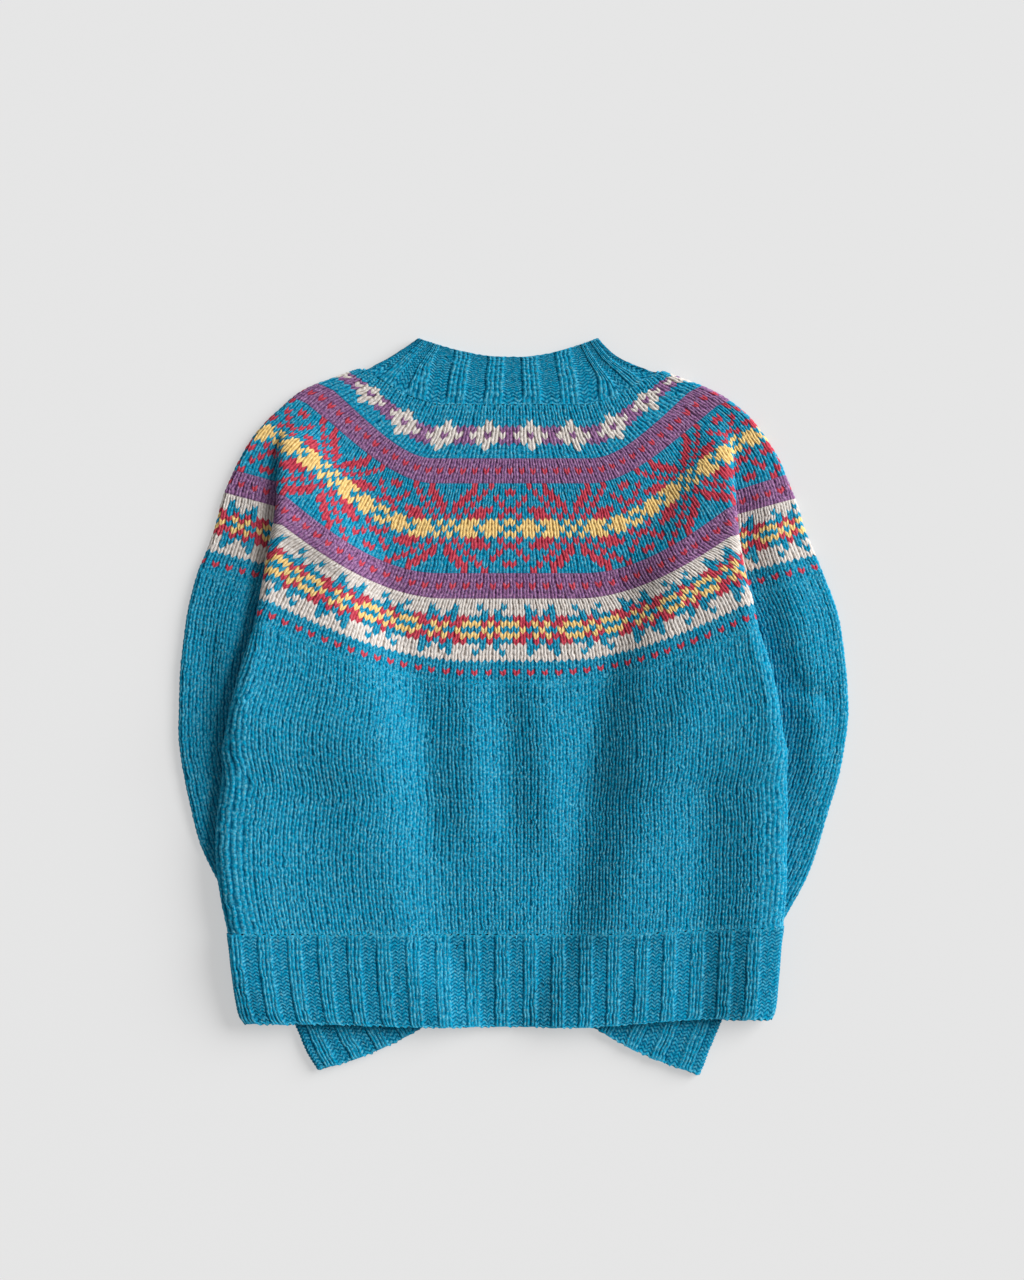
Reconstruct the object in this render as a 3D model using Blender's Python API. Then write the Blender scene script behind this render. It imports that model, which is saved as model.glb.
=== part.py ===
"""Round-yoke jumper lying flat, its two sleeves brought down and tucked under the body.

Tables are in millimetres. Every x is measured outward from the centre line of the body,
every y toward the neck, every z up from the surface the jumper lies on.
"""

import math
from collections import namedtuple

import bmesh
import bpy
from mathutils import Vector

MM = 0.001

# Cloth
WALL = 2.4
BAND = 5.6
LAYER_GAP = 0.8
SEAM_GAP = 0.45
ROLL_SHARE = 0.35
NECK_SEAM_GAP = 0.9
SIDE_SEAM_ANGLE = 86.0
HALF_BAND = BAND / 2.0

# Soft rounding of the front
FRONT_LIFT = 2.0
HEM_LIFT_SHARE = 0.5
EDGE_ROUND = 1.6
EDGE_ROUND_WIDTH = 12.0
EDGE_FLATTEN = 0.5
SLEEVE_RISE_WIDTH = 20.0
SLEEVE_EDGE_WIDTH = 24.0
SLEEVE_EDGE_SHARE = 0.45
SETTLE_LENGTH = 48.0
SETTLE_START = 14.0

# Ribs
RIB_HEIGHT = 1.1
RIB_CREST = 0.21
RIB_FOOT = 0.29
HEM_RIBS = 19
HEM_FIRST_RIB = 0.35
HEM_LAST_RIB = 1.10
COLLAR_RIBS = 8
COLLAR_END_RIB = 0.85
CROWD_START = 0.75
CUFF_RIBS = 4
CUFF_END_RIB = 0.5

# Points round a section
ARC_STEPS = 4
LEG_STEPS = 2
CAP_ANGLES = (45.0, 90.0, 135.0)
BODY_STEPS = 8
HIDDEN_STEPS = 2
SHOWN_STEPS = 4
SHOWN_LEAST = 0.2
CREASE_STEPS = 60
BACK_HEM_STEPS = 24

# Colours and finish
TEAL = (0.012, 0.185, 0.300)
TEAL_SHADE = (0.010, 0.150, 0.245)
YOKE_COLOR = (0.150, 0.060, 0.150)
WOOL_ROUGHNESS = 0.9

Side = namedtuple("Side", "crease_x crease_y tuck_y outer_x outer_y")
YokeRow = namedtuple("YokeRow", "centre_y turn leg puff bend_start bend_end left right")
YOKE_ROWS = (
    YokeRow(243, 0, 1, 1.5, 0.55, 1.30, Side(100, 257, 266, 124, 272), Side(98, 257, 265, 121, 270)),
    YokeRow(217, 0, 1, 2.0, 0.30, 2.00, Side(115, 247, 259, 138, 267), Side(112, 246, 258, 134, 265)),
    YokeRow(190, 0, 1, 2.5, 0.35, 1.40, Side(144, 241, 250, 168, 255), Side(141, 238, 248, 163, 253)),
    YokeRow(167, 12, 1, 3.0, 0.35, 1.20, Side(168, 229, 235, 187, 240), Side(165, 225, 232, 186, 237)),
    YokeRow(144, 55, 1, 3.5, 0.38, 1.05, Side(187, 217, 219, 205, 222), Side(176, 208, 213, 200, 220)),
    YokeRow(121, 100, 1, 4.5, 0.37, 1.15, Side(189, 190, 194, 218, 202), Side(178, 181, 187, 213, 200)),
    YokeRow(97, 150, 2, 5.5, 0.35, 1.30, Side(190, 164, 169, 228, 181), Side(180, 153, 162, 223, 176)),
    YokeRow(79, 180, 12, 6.0, 0.30, 1.40, Side(194, 141, 149, 234, 165), Side(182, 133, 143, 229, 161)),
    YokeRow(61, 180, 24, 6.0, 0.25, 1.50, Side(198, 118, 131, 238, 149), Side(185, 114, 125, 233, 146)),
    YokeRow(44, 180, 30, 6.0, 0.15, 1.80, Side(200, 97, 113, 243, 133), Side(190, 93, 108, 240, 129)),
    YokeRow(19, 180, 33, 6.0, 0.05, 2.20, Side(203, 69, 86, 253, 109), Side(195, 65, 81, 250, 105)),
)

# Body below the yoke: level is the height of cloth that lies between body and surface
Edge = namedtuple("Edge", "crease_x crease_y")
BodyRow = namedtuple("BodyRow", "centre_y turn leg level left right")
BODY_ROWS = (
    BodyRow(2, 180, 9, 13.0, Edge(209, 46), Edge(202, 42)),
    BodyRow(-18, 165, 2, 13.0, Edge(215, 21), Edge(208, 18)),
    BodyRow(-39, 105, 1, 13.0, Edge(221, -5), Edge(212, -7)),
    BodyRow(-62, 40, 1, 11.0, Edge(228, -32), Edge(217, -34)),
    BodyRow(-83, 0, 1, 8.0, Edge(231, -59), Edge(219, -59)),
    BodyRow(-106, 0, 1, 6.8, Edge(234, -87), Edge(220, -86)),
    BodyRow(-128, 0, 1, 6.6, Edge(236, -114), Edge(219, -114)),
    BodyRow(-154, 0, 1, 6.8, Edge(234, -146), Edge(219, -144)),
    BodyRow(-182, 0, 1, 7.4, Edge(228, -181), Edge(216, -175)),
)
HEM_ROWS = (
    BodyRow(-182, 0, 1, 7.4, Edge(228, -181), Edge(216, -175)),
    BodyRow(-210, 0, 1, 8.0, Edge(226, -208), Edge(214, -202)),
    BodyRow(-248, 0, 1, 8.0, Edge(221, -243), Edge(211, -239)),
    BodyRow(-256, 0, 1, 8.0, Edge(216, -253), Edge(208, -249)),
)
BODY_BEND = (0.05, 2.2)
HEM_BENDS = ((0.05, 2.2), (0.05, 2.2), (0.15, 1.2), (0.2, 0.8))

# Neckband
CollarRow = namedtuple(
    "CollarRow", "centre_y bend_start bend_end rib_pitch left_x left_y right_x right_y")
COLLAR_ROWS = (
    CollarRow(243, 0.55, 1.30, 31.0, 124, 272, 121, 270),
    CollarRow(254, 0.50, 1.30, 30.0, 107, 278, 100, 275),
    CollarRow(265, 0.35, 1.60, 28.5, 93, 286, 83, 283),
    CollarRow(275, 0.20, 2.00, 26.5, 82, 293, 74, 291),
    CollarRow(280, 0.06, 2.20, 25.5, 77, 295, 69, 295),
)
COLLAR_LIFT = 1.5

# Sleeves, each row running from the outer edge to the inner edge
SleeveRow = namedtuple("SleeveRow", "outer_x outer_y inner_x inner_y turn leg puff")
CUFF_BOW = 3.5
LEFT_SLEEVE_ROWS = (
    SleeveRow(260, 83, 151, 62, 180, 7, 6.5),
    SleeveRow(264, 57, 142, 38, 180, 2, 7.0),
    SleeveRow(267, 29, 134, 14, 110, 1, 7.0),
    SleeveRow(268, 1, 130, -7, 40, 1, 7.0),
    SleeveRow(268, -27, 127, -27, 0, 1, 7.0),
    SleeveRow(264, -55, 126, -48, 0, 1, 6.5),
    SleeveRow(258, -83, 124, -69, 0, 1, 5.5),
    SleeveRow(250, -112, 122, -90, 0, 1, 4.0),
    SleeveRow(234, -145, 119, -114, 0, 1, 2.0),
    SleeveRow(211, -190, 113, -154, 0, 1, 0.0),
    SleeveRow(189, -231, 105, -197, 0, 1, 0.0),
)
RIGHT_SLEEVE_ROWS = (
    SleeveRow(260, 78, 143, 57, 180, 7, 6.5),
    SleeveRow(265, 50, 134, 33, 180, 2, 7.0),
    SleeveRow(268, 22, 127, 9, 110, 1, 7.0),
    SleeveRow(269, -6, 123, -11, 40, 1, 7.0),
    SleeveRow(266, -31, 121, -32, 0, 1, 7.0),
    SleeveRow(261, -57, 119, -53, 0, 1, 6.5),
    SleeveRow(253, -83, 118, -74, 0, 1, 5.5),
    SleeveRow(244, -114, 114, -96, 0, 1, 4.5),
    SleeveRow(232, -144, 110, -120, 0, 1, 3.0),
    SleeveRow(203, -194, 102, -158, 0, 1, 0.0),
    SleeveRow(178, -234, 90, -194, 0, 1, 0.0),
)
LEFT_CUFF_ROWS = (
    SleeveRow(189, -231, 105, -197, 0, 1, 0.0),
    SleeveRow(175, -255, 92, -221, 0, 1, 0.3),
    SleeveRow(166, -276, 82, -241, 0, 1, 0.6),
    SleeveRow(157, -291, 73, -257, 0, 1, 0.4),
)
RIGHT_CUFF_ROWS = (
    SleeveRow(178, -234, 90, -194, 0, 1, 0.0),
    SleeveRow(169, -249, 81, -214, 0, 1, 0.3),
    SleeveRow(159, -272, 71, -235, 0, 1, 0.6),
    SleeveRow(150, -295, 62, -255, 0, 1, 0.4),
)

# Long soft folds on the front: a straight middle line, its height and half width.
# Here x is negative on the left.
Fold = namedtuple("Fold", "start_x start_y end_x end_y height width")
FOLDS = (
    Fold(-49, 22, -34, -150, -1.4, 12),
    Fold(11, 26, 30, -126, -1.3, 11),
    Fold(142, 62, 76, -150, -2.2, 17),
    Fold(-182, -34, -134, -120, -1.4, 14),
    Fold(166, -46, 166, -200, -1.5, 16),
    Fold(-130, 60, -82, -160, 1.5, 22),
    Fold(-21, 30, -19, -110, 1.1, 13),
    Fold(42, 30, 44, -116, 1.1, 14),
    Fold(126, -50, 124, -180, 1.5, 18),
    Fold(146, 236, 108, 110, -1.4, 16),
    Fold(-120, 190, -150, 90, 0.9, 24),
)
FOLD_FADE = 0.28

Mid = namedtuple("Mid", "place normal above below")


def smooth(share):
    """Ease from 0 to 1, held flat outside that span."""
    share = min(1.0, max(0.0, share))
    return share * share * (3.0 - 2.0 * share)


def bend(share, start, end):
    """How far a knitted row has climbed toward its end, 0 at the middle and 1 at the crease."""
    whole = smooth((1.0 - start) / (end - start))
    return smooth((share - start) / (end - start)) / whole


def spread(first, last, steps):
    return [first + (last - first) * step / steps for step in range(steps + 1)]


def fold_height(x, y):
    """Rise or dip of the front at one place."""
    total = 0.0
    for fold in FOLDS:
        run_x = fold.end_x - fold.start_x
        run_y = fold.end_y - fold.start_y
        length = math.hypot(run_x, run_y)
        along = ((x - fold.start_x) * run_x + (y - fold.start_y) * run_y) / length ** 2
        across = ((x - fold.start_x) * run_y - (y - fold.start_y) * run_x) / length
        fade = smooth(along / FOLD_FADE) * smooth((1.0 - along) / FOLD_FADE)
        total += fold.height * fade * math.exp(-(across / fold.width) ** 2)
    return total


def between(table, value):
    """Read a table of (key, result) pairs with falling keys."""
    if value >= table[0][0]:
        return table[0][1]
    for (upper, upper_result), (lower, lower_result) in zip(table, table[1:]):
        if value >= lower:
            share = (upper - value) / (upper - lower)
            return upper_result + (lower_result - upper_result) * share
    return table[-1][1]


STEP_LENGTH = (BAND + LAYER_GAP) / sum(
    math.sin(math.pi * (step + 0.5) / ARC_STEPS) for step in range(ARC_STEPS)
)


def arc(turn_from, turn_to):
    """Moves (out, down, angle) that swing the cloth from one heading to another."""
    moves = []
    length = STEP_LENGTH * (1.0 - ROLL_SHARE * math.sin(max(turn_from, turn_to)))
    for step in range(ARC_STEPS):
        middle = turn_from + (turn_to - turn_from) * (step + 0.5) / ARC_STEPS
        angle = turn_from + (turn_to - turn_from) * (step + 1.0) / ARC_STEPS
        moves.append((length * math.cos(middle), length * math.sin(middle), angle))
    return moves


def leg(angle, length):
    """Moves of a straight piece of cloth."""
    piece = length / LEG_STEPS
    return [(piece * math.cos(angle), piece * math.sin(angle), angle)] * LEG_STEPS


def travel(moves):
    """Places (out, down, angle, path length) reached after each move."""
    out = 0.0
    down = 0.0
    path = 0.0
    places = []
    for move_out, move_down, angle in moves:
        out += move_out
        down += move_down
        path += math.hypot(move_out, move_down)
        places.append((out, down, angle, path))
    return places


def round_edge(x, crease_x):
    return EDGE_ROUND * math.exp(-((crease_x - x) / EDGE_ROUND_WIDTH) ** 2)


def crease_table(side):
    rows = [getattr(row, side) for row in YOKE_ROWS + BODY_ROWS]
    return [(edge.crease_y, edge.crease_x) for edge in rows]


def crease_reach(turn, moves):
    """How far the outer face of a fold lies beyond the place where the cloth starts to turn."""
    lift = FRONT_LIFT + EDGE_ROUND
    return max(out + (HALF_BAND + lift * (1.0 - angle / math.pi)) * math.sin(angle)
               for out, down, angle, path in travel(moves))


def tuck_start(row, side):
    """Where a yoke row starts to turn under at the crease, and the inner edge of that fold."""
    turn = math.radians(row.turn)
    start_x = getattr(row, side).crease_x - crease_reach(turn, arc(0.0, turn))
    tuck = travel(arc(0.0, turn) + leg(turn, row.leg) + arc(turn, 0.0))
    inner = min(out - HALF_BAND * math.sin(angle) for out, down, angle, path in tuck)
    return start_x, start_x + min(0.0, inner)


def inner_table(side, rows):
    """Inner edge of the cloth under the body, from the first fold down to the cuff."""
    table = [(getattr(row, side).tuck_y, tuck_start(row, side)[1]) for row in YOKE_ROWS if row.turn]
    return table + [(row.inner_y, row.inner_x) for row in rows]


def outer_table(rows):
    return [(row.outer_y, row.outer_x) for row in rows]


CREASES = {"left": crease_table("left"), "right": crease_table("right")}
INNER_EDGES = {
    "left": inner_table("left", LEFT_SLEEVE_ROWS + LEFT_CUFF_ROWS),
    "right": inner_table("right", RIGHT_SLEEVE_ROWS + RIGHT_CUFF_ROWS),
}
OUTER_EDGES = {
    "left": outer_table(LEFT_SLEEVE_ROWS + LEFT_CUFF_ROWS),
    "right": outer_table(RIGHT_SLEEVE_ROWS + RIGHT_CUFF_ROWS),
}


def sleeve_swell(side, x, y, puff, outer_x):
    """Extra height of the part of a sleeve that shows beyond the body."""
    shown = x - between(CREASES[side], y)
    rise = smooth(shown / SLEEVE_RISE_WIDTH)
    edge = smooth((x - outer_x + SLEEVE_EDGE_WIDTH) / SLEEVE_EDGE_WIDTH)
    return puff * rise * (1.0 - SLEEVE_EDGE_SHARE * edge)


def mid_point(x, y, z, angle, across, above, below=HALF_BAND):
    """One place on the middle of a double layer; angle is its dip, across its run in plan."""
    run = Vector((across[0], across[1], 0.0))
    up = Vector((0.0, 0.0, 1.0))
    normal = run * math.sin(angle) + up * math.cos(angle)
    return Mid(Vector((x, y, z)), normal, above, below)


def unit(run_x, run_y):
    length = math.hypot(run_x, run_y)
    return run_x / length, run_y / length


def support(side, x, y, level):
    """Height of the cloth under the body, easing down to nothing past the sleeve's edges."""
    inner_x = between(INNER_EDGES[side], y)
    outer_x = between(OUTER_EDGES[side], y)
    inner = smooth((x - inner_x + SETTLE_START + SETTLE_LENGTH) / SETTLE_LENGTH)
    outer = smooth((outer_x + SETTLE_START + SETTLE_LENGTH - x) / SETTLE_LENGTH)
    return level * inner * outer


def sleeve_places(side, start_x, start_y, end_x, end_y):
    """Places along a sleeve from its inner edge to its outer edge, one of them at the crease."""
    share = 0.0
    for step in range(1, CREASE_STEPS):
        x = start_x + (end_x - start_x) * step / CREASE_STEPS
        y = start_y + (end_y - start_y) * step / CREASE_STEPS
        if x <= between(CREASES[side], y):
            share = step / CREASE_STEPS
    share = min(max(share, SHOWN_LEAST), 1.0 - SHOWN_LEAST)
    shares = spread(0.0, share, HIDDEN_STEPS) + spread(share, 1.0, SHOWN_STEPS)[1:]
    return [(start_x + (end_x - start_x) * part, start_y + (end_y - start_y) * part)
            for part in shares]


def yoke_half(row, side):
    """Middle line of one yoke row from the centre to the outer edge of the sleeve."""
    edge = getattr(row, side)
    sign = -1.0 if side == "left" else 1.0
    turn = math.radians(row.turn)
    start_x = tuck_start(row, side)[0]
    tuck = travel(arc(0.0, turn) + leg(turn, row.leg) + arc(turn, 0.0))
    drop = tuck[-1][1]
    spare = FRONT_LIFT * (1.0 - turn / math.pi)
    flat = (1.0, 0.0)
    mids = []
    for x in spread(0.0, start_x, BODY_STEPS):
        y = row.centre_y + (edge.crease_y - row.centre_y) * bend(
            x / edge.crease_x, row.bend_start, row.bend_end)
        z = HALF_BAND + support(side, x, y, drop)
        rounding = round_edge(x, edge.crease_x) * turn / math.pi
        above = HALF_BAND + FRONT_LIFT + rounding + fold_height(sign * x, y)
        mids.append(mid_point(x, y, z, 0.0, flat, above))
    start = mids[-1]
    slope = (edge.tuck_y - start.place.y) / tuck[-1][3]
    start_above = start.above - HALF_BAND
    for out, down, angle, path in tuck:
        above = HALF_BAND + start_above * (1.0 - angle / math.pi)
        if path > tuck[ARC_STEPS - 1][3]:
            above = HALF_BAND + spare
        mids.append(mid_point(start_x + out, start.place.y + slope * path,
                              start.place.z - down, angle, flat, above))
    end = mids[-1].place
    run = unit(edge.outer_x - end.x, edge.outer_y - end.y)
    last_x = edge.outer_x - HALF_BAND * run[0]
    last_y = edge.outer_y - HALF_BAND * run[1]
    for x, y in sleeve_places(side, end.x, end.y, last_x, last_y)[1:]:
        swell = sleeve_swell(side, x, y, max(row.puff - spare, 0.0), edge.outer_x)
        mids.append(mid_point(x, y, HALF_BAND, 0.0, run, HALF_BAND + spare + swell))
    return mids


def first_body_row():
    """The body row that meets the last yoke row."""
    row = YOKE_ROWS[-1]
    drop = 2.0 * (BAND + LAYER_GAP)
    share = (row.leg - 2.0 * HALF_BAND - SEAM_GAP) / 2.0
    return BodyRow(row.centre_y - SEAM_GAP, row.turn, share, drop,
                   Edge(row.left.crease_x, row.left.crease_y - SEAM_GAP),
                   Edge(row.right.crease_x, row.right.crease_y - SEAM_GAP))


def yoke_tuck_slope(side):
    """Climb of the last yoke row along its hidden fold."""
    mids = yoke_half(YOKE_ROWS[-1], side)
    start = mids[BODY_STEPS]
    end = mids[BODY_STEPS + 2 * ARC_STEPS + LEG_STEPS]
    turn = math.radians(YOKE_ROWS[-1].turn)
    moves = arc(0.0, turn) + leg(turn, YOKE_ROWS[-1].leg) + arc(turn, 0.0)
    return (end.place.y - start.place.y) / travel(moves)[-1][3], end.place


def body_half(row, side, first_leg):
    """Middle line of one body row from the centre to the end of its tucked edge."""
    edge = getattr(row, side)
    sign = -1.0 if side == "left" else 1.0
    turn = math.radians(row.turn)
    moves = arc(0.0, turn) + leg(turn, row.leg)
    tuck = travel(moves)
    reach = max(crease_reach(turn, moves), tuck[-1][0] + HALF_BAND * math.cos(turn))
    start_x = edge.crease_x - reach
    slope = yoke_tuck_slope(side)[0] * (row.leg - 1.0) / (first_leg - 1.0)
    flat = (1.0, 0.0)

    def row_y(x):
        return row.centre_y + (edge.crease_y - row.centre_y) * bend(x / edge.crease_x, *BODY_BEND)

    mids = []
    for x in spread(0.0, start_x, BODY_STEPS):
        y = row_y(x)
        z = HALF_BAND + support(side, x, y, row.level)
        above = HALF_BAND + FRONT_LIFT + round_edge(x, edge.crease_x) + fold_height(sign * x, y)
        mids.append(mid_point(x, y, z, 0.0, flat, above))
    start = mids[-1]
    start_above = start.above - HALF_BAND
    straight = 1.0 - turn / math.pi
    for out, down, angle, path in tuck:
        x = start_x + out
        y = start.place.y + slope * path + (row_y(x) - start.place.y) * straight
        above = HALF_BAND + start_above * (1.0 - angle / math.pi)
        above -= start_above * EDGE_FLATTEN * smooth(out / reach) * straight
        sag = (start.place.z - HALF_BAND - support(side, x, y, row.level)) * straight
        mids.append(mid_point(x, y, start.place.z - down - sag, angle, flat, above))
    return mids


def sleeve_mids(row, side, tuck_place, yoke_slope):
    """Middle line of one sleeve row from the outer edge round to the end of its tucked edge."""
    turn = math.radians(row.turn)
    tuck = travel(arc(0.0, turn) + leg(turn, row.leg))
    reach = max(out + HALF_BAND * math.sin(angle) for out, down, angle, path in tuck)
    reach = max(reach, tuck[-1][0] + HALF_BAND * math.cos(turn))
    run = unit(row.inner_x - row.outer_x, row.inner_y - row.outer_y)
    start_x = row.inner_x - run[0] * reach
    start_y = row.inner_y - run[1] * reach
    if tuck_place is not None:
        start_x, start_y = tuck_place.x, tuck_place.y - SEAM_GAP
        run = unit(start_x - row.outer_x, start_y - row.outer_y)
    last_x = row.outer_x + HALF_BAND * run[0]
    last_y = row.outer_y + HALF_BAND * run[1]
    mids = []
    for x, y in reversed(sleeve_places(side, start_x, start_y, last_x, last_y)):
        swell = sleeve_swell(side, x, y, row.puff, row.outer_x)
        mids.append(mid_point(x, y, HALF_BAND, 0.0, run, HALF_BAND + swell))
    share = row.turn / 180.0
    climb = run[1] + (-yoke_slope - run[1]) * share
    across = unit(run[0] + (-1.0 - run[0]) * share, run[1] * (1.0 - share))
    for out, up, angle, path in tuck:
        mids.append(mid_point(start_x + across[0] * out, start_y + climb * path, HALF_BAND + up,
                              -angle, across, HALF_BAND))
    return mids


def mirrored(mids):
    """The same middle line on the left of the body, listed from its outer end inward."""
    flipped = []
    for mid in reversed(mids):
        place = Vector((-mid.place.x, mid.place.y, mid.place.z))
        normal = Vector((-mid.normal.x, mid.normal.y, mid.normal.z))
        flipped.append(Mid(place, normal, mid.above, mid.below))
    return flipped


def joined(left, right):
    """One middle line across the whole jumper."""
    return mirrored(left)[:-1] + right


def cap(mid, near, angle, thinner):
    """A place on the rounded end of a double layer that comes from the place near."""
    turn = math.radians(angle)
    direction = (mid.place - near.place).normalized()
    side = mid.above if angle < 90.0 else mid.below
    return (mid.place + direction * (HALF_BAND - thinner) * math.sin(turn)
            + mid.normal * (side - thinner) * math.cos(turn))


def ring(mids):
    """Outer and inner loops of a flattened tube."""
    loops = []
    for thinner in (0.0, WALL):
        loop = [mid.place + mid.normal * (mid.above - thinner) for mid in mids]
        loop += [cap(mids[-1], mids[-2], angle, thinner) for angle in CAP_ANGLES]
        loop += [mid.place - mid.normal * (mid.below - thinner) for mid in reversed(mids)]
        loop += [cap(mids[0], mids[1], angle, thinner) for angle in reversed(CAP_ANGLES)]
        loops.append(loop)
    return loops


def front_strip(mids):
    """Outer and inner lines of the upper half of a flattened tube, split at its side seams."""
    strips = []
    angles = (CAP_ANGLES[0], SIDE_SEAM_ANGLE)
    for thinner in (0.0, WALL):
        strip = [cap(mids[0], mids[1], angle, thinner) for angle in reversed(angles)]
        strip += [mid.place + mid.normal * (mid.above - thinner) for mid in mids]
        strip += [cap(mids[-1], mids[-2], angle, thinner) for angle in angles]
        strips.append(strip)
    return strips


def back_strip(mids):
    """Outer and inner lines of the lower half of a flattened tube."""
    strips = []
    angles = (CAP_ANGLES[-1], 180.0 - SIDE_SEAM_ANGLE)
    for thinner in (0.0, WALL):
        strip = [cap(mids[0], mids[1], angle, thinner) for angle in reversed(angles)]
        strip += [mid.place - mid.normal * (mid.below - thinner) for mid in mids]
        strip += [cap(mids[-1], mids[-2], angle, thinner) for angle in angles]
        strips.append(strip)
    return strips


def split(shape, corners):
    """Two triangles that share the line from the first corner to the third."""
    shape.faces.new((corners[0], corners[1], corners[2]))
    shape.faces.new((corners[0], corners[2], corners[3]))


def make_solid(name, rings, closed, color):
    """Close a pile of outer and inner lines into one solid with its own material."""
    mesh = bpy.data.meshes.new(name)
    shape = bmesh.new()
    grids = []
    for layer in range(2):
        grids.append([[shape.verts.new(point * MM) for point in row[layer]] for row in rings])
    count = len(grids[0][0])
    spans = count if closed else count - 1
    half = count // 2 if closed else count
    for grid in grids:
        for low, high in zip(grid, grid[1:]):
            for index in range(spans):
                after = (index + 1) % count
                corners = (low[index], low[after], high[after], high[index])
                split(shape, corners if index < half else corners[1:] + corners[:1])
    for end in (0, -1):
        outer, inner = grids[0][end], grids[1][end]
        for index in range(spans):
            after = (index + 1) % count
            corners = (outer[index], outer[after], inner[after], inner[index])
            split(shape, corners if index < half else corners[1:] + corners[:1])
    if not closed:
        for column in (0, -1):
            outer = [row[column] for row in grids[0]]
            inner = [row[column] for row in grids[1]]
            for index in range(len(outer) - 1):
                split(shape, (outer[index], outer[index + 1], inner[index + 1], inner[index]))
    bmesh.ops.recalc_face_normals(shape, faces=shape.faces)
    shape.to_mesh(mesh)
    shape.free()
    material = bpy.data.materials.new(name + "_wool")
    material.use_nodes = True
    shader = material.node_tree.nodes["Principled BSDF"]
    shader.inputs["Base Color"].default_value = (*color, 1.0)
    shader.inputs["Roughness"].default_value = WOOL_ROUGHNESS
    mesh.materials.append(material)
    solid = bpy.data.objects.new(name, mesh)
    COLLECTION.objects.link(solid)
    return solid


def rib_shares(count, first, last):
    """Places across a ribbed piece, -1 to 1, with the height share of each.

    first and last are the room, in rib pitches, between an end and the rib nearest to it.
    """
    pitch = 2.0 / (count - 1 + first + last)
    places = [(-1.0, 0.0)]
    for number in range(count):
        centre = -1.0 + pitch * (first + number)
        places.append((centre - RIB_FOOT * pitch, 0.0))
        places.append((centre - RIB_CREST * pitch, 1.0))
        places.append((centre + RIB_CREST * pitch, 1.0))
        places.append((centre + RIB_FOOT * pitch, 0.0))
    places.append((1.0, 0.0))
    return places


def hem_mids(row, bends, lower, shares):
    """Middle line of one hem row."""
    mids = []
    for share, rib in shares:
        side = "left" if share < 0.0 else "right"
        sign = -1.0 if share < 0.0 else 1.0
        edge = getattr(row, side)
        x = abs(share) * (edge.crease_x - HALF_BAND)
        y = row.centre_y + (edge.crease_y - row.centre_y) * bend(abs(share), *bends) - lower
        z = HALF_BAND + support(side, x, y, row.level)
        above = HALF_BAND + FRONT_LIFT * HEM_LIFT_SHARE + RIB_HEIGHT * rib
        above += round_edge(x, edge.crease_x) * HEM_LIFT_SHARE
        mids.append(mid_point(sign * x, y, z, 0.0, (1.0, 0.0), above))
    return mids


def hem_lines(strip, shares):
    """Outer and inner lines of every hem row, the first held clear of the body above."""
    lines = []
    for row, bends in zip(HEM_ROWS, HEM_BENDS):
        lower = SEAM_GAP if row is HEM_ROWS[0] else 0.0
        lines.append(strip(hem_mids(row, bends, lower, shares)))
    return lines


def seam_y(x):
    """How far toward the neck the yoke reaches at one x, which is negative on the left."""
    line = joined(yoke_half(YOKE_ROWS[0], "left"), yoke_half(YOKE_ROWS[0], "right"))
    for before, after in zip(line, line[1:]):
        if x <= after.place.x or after is line[-1]:
            share = (x - before.place.x) / (after.place.x - before.place.x)
            return before.place.y + (after.place.y - before.place.y) * share


def crowded(x, end_x, outer_x):
    """Where a rib place ends up when the neckband's ribs crowd together at its side fold."""
    knee = CROWD_START * outer_x
    if x <= knee:
        return x
    return knee + (x - knee) * (outer_x - knee) / (end_x - knee)


def collar_mids(row, shares):
    """Middle line of one neckband row."""
    end_x = row.rib_pitch * ((COLLAR_RIBS - 1) / 2.0 + COLLAR_END_RIB)
    mids = []
    for share, rib in shares:
        sign = -1.0 if share < 0.0 else 1.0
        outer_x = row.left_x if share < 0.0 else row.right_x
        outer_y = row.left_y if share < 0.0 else row.right_y
        x = crowded(abs(share) * end_x, end_x, outer_x)
        y = row.centre_y + (outer_y - row.centre_y) * bend(
            x / outer_x, row.bend_start, row.bend_end)
        if row is COLLAR_ROWS[0]:
            y = seam_y(sign * x) + NECK_SEAM_GAP
        above = HALF_BAND + COLLAR_LIFT + RIB_HEIGHT * rib
        mids.append(mid_point(sign * x, y, HALF_BAND, 0.0, (1.0, 0.0), above))
    return pulled_in(mids)


def pulled_in(mids):
    """Draw both ends in along the row by the rounding of the edge."""
    ends = []
    for end, near in ((mids[0], mids[1]), (mids[-1], mids[-2])):
        place = end.place - (end.place - near.place).normalized() * HALF_BAND
        ends.append(Mid(place, end.normal, end.above, end.below))
    return [ends[0]] + mids[1:-1] + [ends[1]]


def cuff_mids(row, onward, bow, shares):
    """Middle line of one cuff row from its outer edge to its inner edge."""
    run = unit(row.inner_x - row.outer_x, row.inner_y - row.outer_y)
    along_sleeve = (-run[1], run[0])
    length = math.hypot(row.inner_x - row.outer_x, row.inner_y - row.outer_y)
    mids = []
    for share, rib in shares:
        along = HALF_BAND + (length - BAND) * (share + 1.0) / 2.0
        beyond = onward + bow * (1.0 - share * share)
        x = row.outer_x + run[0] * along + along_sleeve[0] * beyond
        y = row.outer_y + run[1] * along + along_sleeve[1] * beyond
        above = HALF_BAND + RIB_HEIGHT * rib + row.puff
        mids.append(mid_point(x, y, HALF_BAND, 0.0, run, above))
    return mids


def placed(mids, side):
    """A sleeve's middle line on its own side of the body, listed from left to right."""
    return list(reversed(mirrored(mids) if side == "left" else mids))


for old in list(bpy.data.objects):
    bpy.data.objects.remove(old, do_unlink=True)
COLLECTION = bpy.data.collections.new("fair_isle_jumper")
bpy.context.scene.collection.children.link(COLLECTION)

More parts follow.
